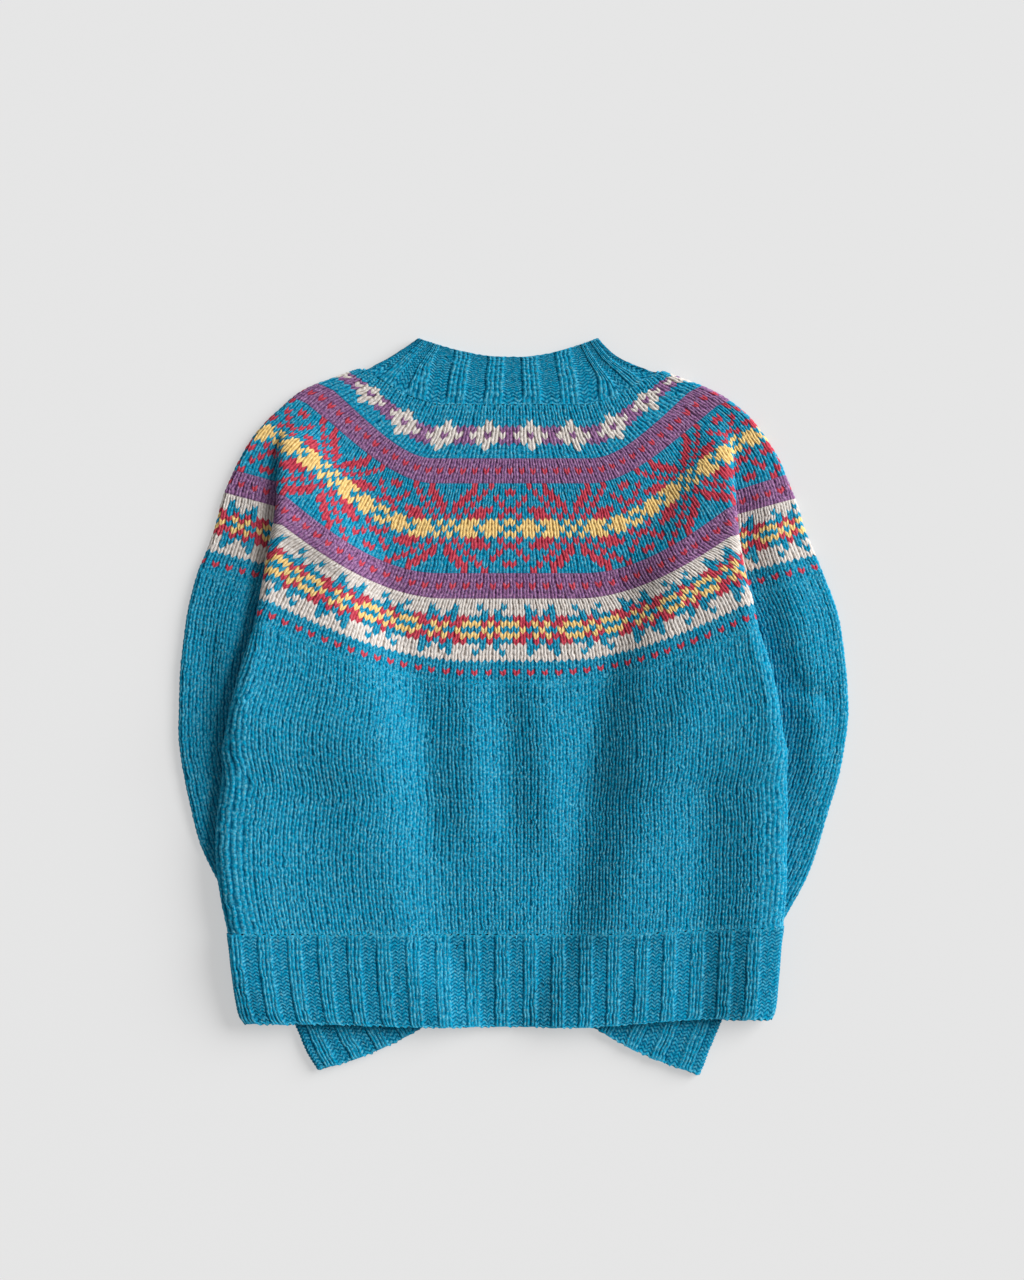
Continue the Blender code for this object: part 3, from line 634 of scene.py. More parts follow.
class Skin:
    # gathers the vertices and faces of one piece
    def __init__(self):
        self.points, self.depths, self.count, self.rims = [], [], 0, []
        self.faces, self.tints = {3: [], 4: []}, {3: [], 4: []}
        self.uvs, self.stitches = {3: [], 4: []}, {3: [], 4: []}

    def add(self, points, depth=1.0):
        numbers = np.arange(self.count, self.count + points.size // 3).reshape(points.shape[:-1])
        self.points.append(points.reshape(-1, 3))
        self.depths.append(np.broadcast_to(depth, points.shape[:-1]).reshape(-1))
        self.count += numbers.size
        return numbers

    def fill(self, faces, tints, uvs, stitches):
        corners = faces.shape[-1]
        self.faces[corners].append(faces.reshape(-1, corners))
        self.tints[corners].append(np.broadcast_to(tints, faces.shape[:-1]).reshape(-1))
        self.uvs[corners].append(uvs.reshape(-1, 2))
        self.stitches[corners].append(stitches.reshape(-1, 2))

    def grid(self, low, high, tints):
        # quads between two lines with the same count
        parts = []
        for field in lineFields:
            a, b = getattr(low, field), getattr(high, field)
            parts.append(np.stack([a[:-1], a[1:], b[1:], b[:-1]], 1))
        self.fill(parts[0], tints, parts[1], parts[2])

    def rim(self, line):
        # a border where the shading breaks
        self.rims.append(np.sort(np.stack([line.numbers[:-1], line.numbers[1:]], 1), 1))

    def zip(self, low, high, tints):
        # triangles between two lines with different counts, in step with each other
        i = j = 0
        ends = len(low.numbers) - 1, len(high.numbers) - 1
        faces, uvs, stitches, colours = [], [], [], []
        tints = np.broadcast_to(tints, (ends[0],))
        while i < ends[0] or j < ends[1]:
            colours.append(tints[min(i, ends[0] - 1)])
            if j == ends[1] or (i < ends[0] and low.at[i + 1] <= high.at[j + 1]):
                corners = ((low, i), (low, i + 1), (high, j))
                i += 1
            else:
                corners = ((low, i), (high, j + 1), (high, j))
                j += 1
            faces.append([line.numbers[at] for line, at in corners])
            uvs.append([line.uv[at] for line, at in corners])
            stitches.append([line.stitches[at] for line, at in corners])
        self.fill(np.array(faces), np.array(colours), np.array(uvs), np.array(stitches))

    def build(self, name, materials):
        mesh = bpy.data.meshes.new(name)
        points = np.vstack(self.points) * mm
        kinds = [size for size in self.faces if self.faces[size]]
        corners = np.concatenate([np.vstack(self.faces[size]).reshape(-1) for size in kinds])
        sizes = np.concatenate([np.full(len(part), size) for size in kinds for part in self.faces[size]])
        tints = np.concatenate([part for size in kinds for part in self.tints[size]])
        mesh.vertices.add(len(points))
        mesh.vertices.foreach_set("co", points.reshape(-1).astype(np.float32))
        mesh.loops.add(len(corners))
        mesh.loops.foreach_set("vertex_index", corners.astype(np.int32))
        mesh.polygons.add(len(sizes))
        starts = np.concatenate([[0], np.cumsum(sizes)[:-1]])
        mesh.polygons.foreach_set("loop_start", starts.astype(np.int32))
        mesh.polygons.foreach_set("material_index", tints.astype(np.int32))
        mesh.polygons.foreach_set("use_smooth", np.ones(len(sizes), bool))
        mesh.update(calc_edges=True)
        # how deep each vertex lies between the threads, which the materials paint as shade
        depths = mesh.attributes.new("depth", "FLOAT", "POINT")
        depths.data.foreach_set("value", np.concatenate(self.depths).astype(np.float32))
        for layer, table in (("OFBake", self.uvs), ("stitches", self.stitches)):
            values = np.concatenate([part for size in kinds for part in table[size]])
            mesh.uv_layers.new(name=layer).data.foreach_set("uv", values.reshape(-1).astype(np.float32))
        shape = bmesh.new()
        shape.from_mesh(mesh)
        bmesh.ops.recalc_face_normals(shape, faces=shape.faces)
        shape.to_mesh(mesh)
        shape.free()
        ends = np.empty(len(mesh.edges) * 2, np.int32)
        mesh.edges.foreach_get("vertices", ends)
        ends = np.sort(ends.reshape(-1, 2).astype(np.int64), 1)
        rims = np.vstack(self.rims).astype(np.int64)
        sharp = np.isin(ends[:, 0] * self.count + ends[:, 1], rims[:, 0] * self.count + rims[:, 1])
        mesh.attributes.new("sharp_edge", "BOOLEAN", "EDGE").data.foreach_set("value", sharp)
        for material in materials:
            mesh.materials.append(material)
        piece = bpy.data.objects.new(name, mesh)
        bpy.context.collection.objects.link(piece)
        print(name, "triangles", int((sizes - 2).sum()))
        return piece


def stitchShape(across, along, purl, lean, closed):
    # height of the thread over the skin, its run up or down the rows, and how deep it lies, 0 deep to 1 on
    # top, which sets the painted shade in the gaps
    plump = np.maximum(np.interp(across, stitch["columns"] + (1.0,), stitch["profile"]), closed)
    bulge = stitch["groove"] + (1 - stitch["groove"]) * np.sin(math.pi * along)
    knit = stitch["valley"] + (stitch["crest"] - stitch["valley"]) * plump * bulge
    slant = lean * (2 * np.abs(2 * across - 1) - 1)
    ridge = np.abs(np.sin(2 * math.pi * along)) + 0 * across
    bump = stitch["purlDepth"] + stitch["purlRise"] * ridge
    wave = -stitch["purlWave"] * np.cos(2 * math.pi * across)
    depth = np.where(purl, stitch["purlDeep"] + stitch["purlLit"] * ridge, plump * bulge)
    return np.where(purl, bump, knit), np.where(purl, wave, slant), depth


def lineAcross(lines, index, at):
    # a line through the vertices at one index of each line
    picked = [np.array([getattr(line, field)[index] for line in lines]) for field in lineFields]
    return Line(picked[0], at, picked[1], picked[2])


def knitPatch(skin, surface, bands, island, fine, back=0):
    # fills a surface with stitches and returns its lower, upper, left and right borders.
    # A band is a run of rows with one count of stitches: the row places of its borders, the
    # borders of its stitches, their shares, which are purled and the yarn of each
    columns = np.array(stitch["columns"] if fine else (0.0,))
    total = sum(len(band["rows"]) - 1 for band in bands)
    before = None
    made, levels = [], []
    done = 0
    for band in bands:
        first, last = band is bands[0], band is bands[-1]
        cells = len(band["edges"]) - 1
        lines = np.array(band["lines"] if fine else (0.0,))
        cell = np.append(np.repeat(np.arange(cells), len(columns)), cells - 1)
        across = np.append(np.tile(columns, cells), 1.0)
        edges = np.array(band["edges"], float)
        place = edges[cell] + (edges[cell + 1] - edges[cell]) * across
        count = len(band["rows"]) - 1
        row = np.repeat(np.arange(count), len(lines))
        along = np.tile(lines, count)
        if last:
            row, along = np.append(row, count - 1), np.append(along, 1.0)
        up, rest = row + along, count - row - along     # rows from the band's two borders
        level = up[:, None] + np.zeros((1, len(place)))
        place = place[None, :] + np.zeros((len(row), 1))
        depth = 1.0
        if fine:
            gaps = shapeRandom.random((2, count, cells)) ** 2 * stitch["closed"]
            closed = gaps[0][row][:, cell] * (across % 1 == 0) + gaps[1][row][:, cell] * (across == 0.5)
            height, slant, depth = stitchShape(across[None, :], along[:, None], band["purl"][cell][None, :],
                                               band["slant"], closed)
            # rows keep their places where they meet another band
            free = np.minimum(1, np.minimum(up + count * first, rest + count * last))[:, None]
            level = level + slant * free
            loose = shapeRandom.normal(0, 1, (3, count + 1, cells + 1))
            upward = loose[0][row][:, cell] * stitch["uneven"]
            height = height + upward * np.sin(math.pi * across)[None, :]
            level = level + loose[1][row][:, cell] * stitch["wander"] * free * stitch["rowWander"]
            place = place + loose[2][row][:, cell] * stitch["wander"]
            place[:, 0], place[:, -1] = edges[0], edges[-1]
        borders = np.array(band["rows"])
        inside = np.interp(level, np.arange(count + 1.0), borders)
        inside += np.minimum(level, 0) * (borders[1] - borders[0])
        inside += np.maximum(level - count, 0) * (borders[-1] - borders[-2])
        share = band["share"](place, inside)
        points, normals = surface.read(inside, share)
        if fine:
            # stitches level out at the piece's own borders
            border = np.minimum(up + count * (not first), rest + count * (not last))[:, None]
            flat = 1 - ease(border / stitch["borderReach"])
            height = height * (1 - flat) + band["rib"](place, inside)
            # the painted shade of the gaps fades out with them
            depth = depth + np.maximum(stitch["borderDepth"] - depth, 0) * flat
            points = points + normals * (height * surface.outward)[..., None]
        numbers = skin.add(points, depth)
        uv = np.stack([island[0] + (island[2] - island[0]) * (share + 1) / 2,
                       island[1] + (island[3] - island[1]) * (done + level) / total], 2)
        names = np.stack([place, done + level], 2)
        bandLines = [Line(numbers[at], share[at], uv[at], names[at]) for at in range(len(row))]
        yarns = band["yarns"] + back
        if before is not None:
            skin.zip(before[0], bandLines[0], before[1])
        for at in range(len(bandLines) - 1):
            skin.grid(bandLines[at], bandLines[at + 1], yarns[row[at]][cell[:-1]])
        before = bandLines[-1], yarns[-1][cell[:-1]]
        made += bandLines
        levels += list(done + row + along)
        done += count
    levels = np.array(levels) / total
    return {"low": made[0], "high": made[-1],
            "left": lineAcross(made, 0, levels), "right": lineAcross(made, -1, levels)}


def around(front, back):
    # one closed line from the front's left end, along the front and home along the back
    at = np.concatenate([(front.at + 1) / 4, 1 - (back.at[::-1] + 1) / 4, [1.0]])
    ends = [np.concatenate([getattr(front, field), getattr(back, field)[::-1], getattr(front, field)[:1]])
            for field in lineFields]
    return Line(ends[0], at, ends[1], ends[2])


def besideLine(line, like, shift):
    # the same vertices with picture places next to those of another line
    picked = np.searchsorted(like.at, line.at).clip(0, len(like.at) - 1)
    return line._replace(uv=like.uv[picked] + np.array(shift), stitches=like.stitches[picked])


def plainGrid(skin, points, island, closed, tint):
    # coarse quads over an array of points, closed round its columns if asked
    numbers = skin.add(points)
    count = numbers.shape[1] + (1 if closed else 0)
    lines = []
    for at, line in enumerate(numbers):
        ring = np.append(line, line[0]) if closed else line
        share = np.linspace(0, 1, count)
        up = at / (len(numbers) - 1)
        uv = np.stack([island[0] + (island[2] - island[0]) * share,
                       np.full(count, island[1] + (island[3] - island[1]) * up)], 1)
        lines.append(Line(ring, share, uv, uv * insideGrid["stitches"]))
    for low, high in zip(lines, lines[1:]):
        skin.grid(low, high, tint)
    return lines


# Where each face lies in the piece's flat map, and the coarse grid of an inside.
frontIsland = (0.02, 0.50, 0.98, 0.98)
backIsland = (0.02, 0.25, 0.98, 0.47)
insideIsland = (0.02, 0.03, 0.98, 0.22)
insideGrid = {"steps": 48, "rowStep": 0.34, "leastRows": 3, "stitches": 60}
rowEnds = (("low", 0, -islandGap), ("high", -1, islandGap))
sideEnds = (("left", 0, -islandGap), ("right", -1, islandGap))


def insidePlaces(bands, steps):
    # row places and shares of an inside's points
    first, last = bands[0]["rows"][0], bands[-1]["rows"][-1]
    count = max(insideGrid["leastRows"], int(abs(last - first) / insideGrid["rowStep"]) + 1)
    return (np.linspace(first, last, count)[:, None] + np.zeros((1, steps + 1)),
            np.linspace(-1, 1, steps + 1)[None, :] + np.zeros((count, 1)))


def closeEdge(skin, outer, inner, shift, tint):
    skin.rim(outer)
    skin.zip(outer, besideLine(inner, outer, shift), tint)


def makeTube(name, surfaces, bands, materials):
    # outer front of stitches, plain underside of flat stitches and a plain inside, all joined
    skin = Skin()
    front = knitPatch(skin, surfaces["front"], bands, frontIsland, True)
    back = knitPatch(skin, surfaces["back"], bands, backIsland, False, len(yarnOrder))
    for edge, number, shift in sideEnds:
        skin.zip(front[edge], besideLine(back[edge], front[edge], (shift, 0)), 0)
    place, share = insidePlaces(bands, insideGrid["steps"])
    above = surfaces["frontInside"].read(place, share)[0]
    under = surfaces["backInside"].read(place, share)[0][:, ::-1]
    inside = plainGrid(skin, np.concatenate([above, under], 1), insideIsland, True, len(yarnOrder))
    at = np.concatenate([(share[0] + 1) / 4, 1 - (share[0][::-1] + 1) / 4, [1.0]])
    for end, number, shift in rowEnds:
        closeEdge(skin, around(front[end], back[end]), inside[number]._replace(at=at), (0, shift), 0)
    return skin.build(name, materials)


def makeStrip(name, surfaces, bands, materials, fine):
    # one layer of cloth with its two faces and four edges
    skin = Skin()
    back = 0 if fine else len(yarnOrder)
    outer = knitPatch(skin, surfaces["outer"], bands, frontIsland, fine, back)
    place, share = insidePlaces(bands, insideGrid["steps"] * 2)
    inside = plainGrid(skin, surfaces["inner"].read(place, share)[0], insideIsland, False, len(yarnOrder))
    for end, number, shift in rowEnds:
        closeEdge(skin, outer[end], inside[number]._replace(at=share[0]), (0, shift), back)
    for end, number, shift in sideEnds:
        edge = lineAcross(inside, number, np.linspace(0, 1, len(inside)))
        closeEdge(skin, outer[end], edge, (shift, 0), back)
    return skin.build(name, materials)


def noRib(place, inside):
    return np.zeros(place.shape)


def plainBand(rows, count, share, yarnAt=None, slant=stitch["slant"]):
    yarns = np.zeros((len(rows) - 1, count), int)
    if yarnAt is not None:
        for number in range(len(rows) - 1):
            yarns[number] = [yarnOrder.index(yarnAt(number, column)) for column in range(count)]
    return {"rows": rows, "edges": np.arange(count + 1.0), "share": share,
            "purl": np.zeros(count, bool), "rib": noRib, "yarns": yarns, "lines": stitch["lines"],
            "slant": slant}


# B blue, P purple, R red, Y yellow, C cream. The rows run from the lowest one up.
flowerChart = ("BBCBBB", "PCCCPP", "CCPCCP", "PCCCPP", "BBCBBB")
# From the middle row outward, and from one axis of the repeat to the next.
creamChart = ("BYBBBYBBY", "YRYYYRRYR", "RBBBRRBRB", "CBCCCCBBC", "CCBCCCBCC", "CCCCCCCCC")
largeChart = ("BYYYYBYYYBY", "YBYYBYYYBYB", "BRBBRRRBRBR", "RBBRRRBRBRB",
              "BRBBBBRBRRB", "BBRBBRBRRBB", "RBBBRBRRBBB", "BBBRBBRBBBB")


def blueYarn(row, column):
    return "B"


def dottedYarn(ground, dotRow=2):
    # every second stitch of one row is red
    return lambda row, column: "R" if row == dotRow and column % 2 == 0 else ground


def repeatYarn(chart, phase):
    return lambda row, column: chart[row][(column - phase) % len(chart[0])]


def mirroredYarn(chart, repeat, phase):
    # the chart is mirrored at its middle row and at its axes
    def yarn(row, column):
        step = (column - phase) % repeat
        return chart[abs(row - len(chart) + 1)][min(step, 2 * (len(chart[0]) - 1) - step)]
    return yarn


# Bands of the yoke from its lower edge up: how far each one reaches, the rows in it,
# stitches across the front and the yarn of each stitch.
yokeBands = (
    {"top": 37.4, "rows": 5, "stitches": 128, "yarn": dottedYarn("B")},
    {"top": 87.4, "rows": 11, "stitches": 128, "yarn": mirroredYarn(creamChart, 16, 60)},
    {"top": 107.8, "rows": 5, "stitches": 103, "yarn": dottedYarn("P")},
    {"top": 179.8, "rows": 15, "stitches": 95, "yarn": mirroredYarn(largeChart, 21, 47)},
    {"top": 199.8, "rows": 5, "stitches": 82, "yarn": dottedYarn("P")},
    {"top": 206.6, "rows": 2, "stitches": 54, "yarn": blueYarn},
    {"top": 230.2, "rows": 5, "stitches": 54, "yarn": repeatYarn(flowerChart, 21)},
    {"top": 243.0, "rows": 3, "stitches": 54, "yarn": blueYarn},
)


def centreOf(rows):
    places = rowTable(rows, tableSteps["level"])
    return np.array([rowAt(rows, place).centreY for place in places]), np.array(places)


def placesAt(levels, rows):
    # row places of heights on the centre line
    centres, places = centreOf(rows)
    return np.interp(levels, centres[::-1], places[::-1])


def evenRows(rows, rowHeight):
    # row places of stitches of about this height, from the lowest row of a table up
    low, high = rows[-1].centreY, rows[0].centreY
    return placesAt(np.linspace(low, high, round((high - low) / rowHeight) + 1), rows)


def yokeStitches():
    bands = []
    low = yokeRows[-1].centreY
    for band in yokeBands:
        levels = np.linspace(low, band["top"], band["rows"] + 1)
        low = band["top"]
        count = band["stitches"]
        made = plainBand(placesAt(levels, yokeRows), count,
                         lambda place, inside, count=count: 2 * place / count - 1, band["yarn"],
                         stitch["yokeSlant"])
        if bands and bands[-1]["edges"][-1] == count:
            bands[-1]["rows"] = np.concatenate([bands[-1]["rows"], made["rows"][1:]])
            bands[-1]["yarns"] = np.vstack([bands[-1]["yarns"], made["yarns"]])
        else:
            bands.append(made)
    return bands


def surfacesOf(places, midsAt, sharesOf, faces):
    # sharesOf takes a line and the middle line that it was made from
    every = [midsAt(place) for place in places]
    made = {}
    for name, face in faces.items():
        lines = [faceLine(mids, *face) for mids in every]
        made[name] = Surface(places, lines, [sharesOf(points, mids) for points, mids in zip(lines, every)])
    return made


def byLength(middle):
    # shares by length from the vertex of the middle line at this place in it
    def found(line, mids):
        extra = (len(line) - len(mids)) // 2
        return evenShares(line, extra + middle)
    return found


def fromOuterEdge(line, mids):
    path = lengths(line)
    return 2 * path / path[-1] - 1


slopes = {name: tuckSlope(name, fineSteps) for name in sides}
yokePlaces = rowTable(yokeRows)
bodyPlaces = rowTable(bodyRows)
yokeMiddle = len(yokeHalf(yokeRows[0], "left", fineSteps)) - 1
bodyMiddle = len(bodyHalf(bodyRows[0], "left", fineSteps, slopes)) - 1


def yokeMids(place):
    row = rowAt(yokeRows, place)
    return joinedHalves(lambda name: yokeHalf(row, name, fineSteps))


def bodyMids(place):
    row = rowAt(bodyRows, place)
    return joinedHalves(lambda name: bodyHalf(row, name, fineSteps, slopes))


def halfLengths(line, middle, mids):
    path = lengths(line)
    at = (len(line) - len(mids)) // 2 + middle
    return path[at], path[-1] - path[at]


yokeEdge = yokeMids(yokePlaces[-1])
yokePitch = [length / (yokeBands[0]["stitches"] / 2)
             for length in halfLengths(faceLine(yokeEdge, *tubeFaces["front"]), yokeMiddle, yokeEdge)]
print("yoke stitch pitch", yokePitch)
bodyLengths = np.array([halfLengths(faceLine(mids, *topFaces["outer"]), bodyMiddle, mids)
                        for mids in (bodyMids(place) for place in bodyPlaces)])
# length of the rounded side edge beyond the hem's last stitches
bodyEdges = bodyLengths[-1] + halfBand - np.array([bodyRows[-1].leftCreaseX, bodyRows[-1].rightCreaseX])
# Stitches from the middle to a side, those that are as wide as the yoke's, a row's height, the
# distance over which they turn from the yoke's places to the hem's, and the stitches that widen
# at a side.
bodyStitches = {"half": 39, "knee": 38.2, "rowHeight": 3.9, "topBlend": 80.0, "edgeBlend": 4}
ribRowHeight = 5.7
ribWidth = 4             # stitches: two knit and two purl
leastStitch = 0.6        # a narrower one at an end joins its neighbour
# Ribs across, where the first and the last one stand, in ribs from the ends, the stitches that
# go on round the edges, and the height that brings a rib level with the next piece.
hemRibs = {"count": 19, "first": 0.35, "last": 1.10, "ends": 0.75, "meet": 1.1}
collarRibs = {"count": 8, "first": 0.85, "last": 0.85, "ends": 1.0, "meet": 0.6, "crowdStart": 0.75,
              "rows": 12}
cuffRibs = {"count": 4, "first": 0.5, "last": 0.5, "ends": 1.0, "meet": 0.0}


def hemStep():
    # share of the half width that one hem stitch takes
    return 2 / (hemRibs["count"] - 1 + hemRibs["first"] + hemRibs["last"]) / ribWidth


def bodyShare(place, inside):
    # the body's stitches meet the yoke's at the top and the hem's at the bottom
    half = bodyStitches["half"]
    offset = place - half
    number = np.abs(offset)
    left = offset < 0
    length = np.where(left, np.interp(inside, bodyPlaces, bodyLengths[:, 0]),
                      np.interp(inside, bodyPlaces, bodyLengths[:, 1]))
    centres, places = centreOf(bodyRows)
    level = np.interp(inside, places, centres)
    even = number / half
    knee = bodyStitches["knee"]
    pitch = np.where(left, yokePitch[0], yokePitch[1])
    beyond = np.maximum(number - knee, 0) / (half - knee) * (length - knee * pitch)
    top = (np.minimum(number, knee) * pitch + beyond) / length
    sign = np.where(left, -1.0, 1.0)
    edge = np.where(left, bodyEdges[0], bodyEdges[1])
    hem = (-1 + (place + ribWidth * hemRibs["first"] - 1) * hemStep()) * (1 - edge / length)
    hem = sign * even + (hem - sign * even) * ease((half - number) / bodyStitches["edgeBlend"])
    topPart = 1 - ease((bodyRows[0].centreY - level) / bodyStitches["topBlend"])
    return np.clip(hem + (sign * top - hem) * topPart, -1, 1)


bodyBand = [plainBand(evenRows(bodyRows, bodyStitches["rowHeight"]), 2 * bodyStitches["half"], bodyShare)]


def ribStitches(count, first, last):
    # borders of the stitches across a ribbed piece, and which of them are purled
    start = ribWidth * first - 1
    edges = [start + number for number in range(ribWidth * (count - 1) + 3)]
    purl = [number % ribWidth > 1 for number in range(len(edges) - 1)]
    end = ribWidth * (count - 1 + first + last)
    while edges[0] > leastStitch:
        edges.insert(0, edges[0] - 1 if edges[0] > 1 + leastStitch else 0)
        purl.insert(0, True)
    edges[0] = 0 if edges[0] <= leastStitch and purl[0] else edges[0]
    if edges[0] > 0:
        edges.insert(0, 0)
        purl.insert(0, True)
    while edges[-1] < end - 1 - leastStitch:
        edges.append(edges[-1] + 1)
        purl.append(True)
    edges.append(end)
    purl.append(True)
    return np.array(edges, float), np.array(purl), end


def ribBand(rows, ribs, top=0.0):
    # top is the row place where it meets the next piece
    ends = ribs["ends"]
    edges, purl, end = ribStitches(ribs["count"], ribs["first"], ribs["last"])
    edges = np.concatenate([[-ends], edges, [end + ends]])
    purl = np.concatenate([[True], purl, [True]])
    start = ribWidth * ribs["first"] - 1

    def share(place, inside):
        return np.clip((2 * place / end - 1) / (1 + 2 * ends / end), -1, 1)

    def rib(place, inside):
        across = (place - start - 1) % ribWidth
        away = np.minimum(across, ribWidth - across)
        within = (place > start - 1) & (place < start + ribWidth * ribs["count"] - 1)
        apart = ease(np.abs(inside - top) / stitch["meetReach"])
        raised = stitch["ribHeight"] * ease((stitch["ribReach"] - away) / stitch["ribSide"])
        return raised * within * apart + ribs["meet"] * (1 - apart)

    return {"rows": rows, "edges": edges, "share": share, "purl": purl, "rib": rib,
            "yarns": np.zeros((len(rows) - 1, len(purl)), int), "lines": stitch["ribLines"], "slant": 0.0}


ribSteps = 100    # along a section of a ribbed piece


def ribShares(line, mids):
    # shares of the middle line, then scaled so that the rounded ends reach 1 and -1
    shares = givenShares(line, np.linspace(-1, 1, len(mids)))
    shares[shares < 0] /= -shares[0]
    shares[shares > 0] /= shares[-1]
    return shares


def hemMids(place):
    row = rowAt(hemRows, place)
    index = min(int(place), len(hemRows) - 2)
    part = place - index
    bends = [low + (high - low) * part for low, high in zip(hemBends[index], hemBends[index + 1])]
    mids = []
    for share in spread(-1, 1, ribSteps):
        name, sign = ("left", -1) if share < 0 else ("right", 1)
        creaseX, creaseY = side(row, name, "CreaseX"), side(row, name, "CreaseY")
        x = abs(share) * (creaseX - halfBand)
        y = row.centreY + (creaseY - row.centreY) * bend(abs(share), *bends)
        z = halfBand + support(name, x, y, row.level)
        above = halfBand + cloth["frontLift"] * cloth["hemLiftShare"]
        above += roundEdge(x, creaseX) * cloth["hemLiftShare"] + foldHeight(sign * x, y)
        mids.append(midPoint(sign * x, y, z, 0, (1, 0), above))
    return np.array(mids)


yokeTop = yokeMids(0)


def collarMids(place):
    row = rowAt(collarRows, place)
    endX = row.ribPitch * ((collarRibs["count"] - 1) / 2 + collarRibs["last"])
    mids = []
    for share in spread(-1, 1, ribSteps):
        name, sign = ("left", -1) if share < 0 else ("right", 1)
        outerX, outerY = side(row, name, "X"), side(row, name, "Y")
        x = abs(share) * endX
        knee = collarRibs["crowdStart"] * outerX
        if x > knee:
            x = knee + (x - knee) * (outerX - knee) / (endX - knee)
        y = row.centreY + (outerY - row.centreY) * bend(x / outerX, row.bendStart, row.bendEnd)
        seam = np.interp(sign * x, yokeTop[:, 0], yokeTop[:, 1])
        y += (seam - y) * max(0.0, 1 - place) ** 3
        mids.append(midPoint(sign * x, y, halfBand, 0, (1, 0), halfBand + cloth["collarLift"]))
    mids = np.array(mids)
    for end, near in ((0, 1), (-1, -2)):
        run = mids[end, :3] - mids[near, :3]
        mids[end, :3] -= run / np.linalg.norm(run) * halfBand
    return mids


def cuffMids(name):
    def found(place):
        row = rowAt(cuffRows[name], place)
        run = unit(row.innerX - row.outerX, row.innerY - row.outerY)
        onward = (-run[1], run[0])
        length = math.hypot(row.innerX - row.outerX, row.innerY - row.outerY)
        bow = cloth["cuffBow"] * smooth(place - len(cuffRows[name]) + 2)
        mids = []
        for share in spread(-1, 1, ribSteps):
            along = halfBand + (length - cloth["band"]) * (share + 1) / 2
            beyond = bow * (1 - share * share)
            x = row.outerX + run[0] * along + onward[0] * beyond
            y = row.outerY + run[1] * along + onward[1] * beyond
            mids.append(midPoint(x, y, halfBand, 0, run, halfBand + row.puff))
        return flipped(mids, name)
    return found


# Stitches across the upper and the lower part of a sleeve, how many of the upper ones are as
# wide as the yoke's, and the row place that parts them.
sleeveStitches = {"upper": 25, "outer": 14, "lower": 18, "lowerFrom": 9.2, "rowHeight": 3.9}


def headRow(name):
    # the sleeve row that meets the last yoke row
    row = yokeRows[-1]
    outerX, outerY = side(row, name, "OuterX"), side(row, name, "OuterY")
    tuckEnd = slopes[name][1]
    row = row._replace(leg=bodyRows[0].leg)
    reach = tuckReach(*tuckOf(row, fineSteps, False))
    run = unit(tuckEnd[0] - outerX, tuckEnd[1] - outerY)
    return SleeveRow(outerX, outerY, tuckEnd[0] + run[0] * reach, tuckEnd[1] + run[1] * reach,
                     row.turn, row.leg, row.puff)


sleeveTables = {name: (headRow(name),) + sleeveRows[name] for name in sides}


def sleeveMids(name):
    def found(place):
        row = rowAt(sleeveTables[name], place)
        return flipped(sleeveHalf(row, name, fineSteps, slopes), name)
    return found


def rowsAlong(rows, rowHeight, guide):
    # row places at an even spacing along a guide line
    places = np.array(rowTable(rows, tableSteps["level"]))
    points = np.array([guide(rowAt(rows, place)) for place in places])
    path = lengths(points)
    count = round(path[-1] / rowHeight)
    return np.interp(np.linspace(path[-1], 0, count + 1), path, places)


def sleeveGuide(row):
    return (row.outerX + row.innerX) / 2, (row.outerY + row.innerY) / 2


def sleeveBands(name, places, surface):
    rows = rowsAlong(sleeveTables[name], sleeveStitches["rowHeight"], sleeveGuide)
    split = int(np.argmin(np.abs(rows - sleeveStitches["lowerFrom"])))
    wide = np.array([lengths(line)[-1] for line in surface.grid[1:-1]])
    outer, upper, lower = (sleeveStitches[key] for key in ("outer", "upper", "lower"))
    pitch = yokePitch[0 if name == "left" else 1]

    def upperShare(place, inside):
        length = np.interp(inside, places, wide)
        beyond = np.maximum(place - outer, 0) / (upper - outer) * (length - outer * pitch)
        return 2 * (np.minimum(place, outer) * pitch + beyond) / length - 1

    return [plainBand(rows[:split + 1], lower, lambda place, inside: 2 * place / lower - 1),
            plainBand(rows[split:], upper, upperShare)]


colourSocket, numberSocket, vectorSocket = "NodeSocketColor", "NodeSocketFloat", "NodeSocketVector"


def socketGroup(name, inputs, outputs):
    # each input has a name, a kind and, for some, the value that it starts with
    group = bpy.data.node_groups.new(name, "ShaderNodeTree")
    for label, kind, *value in inputs:
        made = group.interface.new_socket(label, in_out="INPUT", socket_type=kind)
        if value:
            made.default_value = value[0]
    for label, kind in outputs:
        group.interface.new_socket(label, in_out="OUTPUT", socket_type=kind)
    return group, group.nodes.new("NodeGroupInput").outputs, group.nodes.new("NodeGroupOutput").inputs


def addNode(tree, kind, inputs=(), **settings):
    # a node with its settings, and its inputs as a value or a socket to link
    made = tree.nodes.new(kind)
    for name, value in settings.items():
        setattr(made, name, value)
    for key, value in dict(inputs).items():
        if isinstance(value, bpy.types.NodeSocket):
            tree.links.new(value, made.inputs[key])
        else:
            made.inputs[key].default_value = value
    return made


def mathNode(tree, operation, first, second=0.0):
    return addNode(tree, "ShaderNodeMath", {0: first, 1: second}, operation=operation).outputs[0]


def scaleNode(tree, vector, factor):
    return addNode(tree, "ShaderNodeVectorMath", {0: vector, 1: factor}, operation="MULTIPLY").outputs[0]


def rangeNode(tree, value, low, high):
    # rises smoothly from 0 to 1 between two values
    return addNode(tree, "ShaderNodeMapRange", {"Value": value, "From Min": low, "From Max": high},
                   interpolation_type="SMOOTHSTEP").outputs["Result"]


def mixNode(tree, amount, first, second):
    # a mix node's colours are its inputs 6 and 7 and its output 2
    return addNode(tree, "ShaderNodeMix", {0: amount, 6: first, 7: second}, data_type="RGBA").outputs[2]


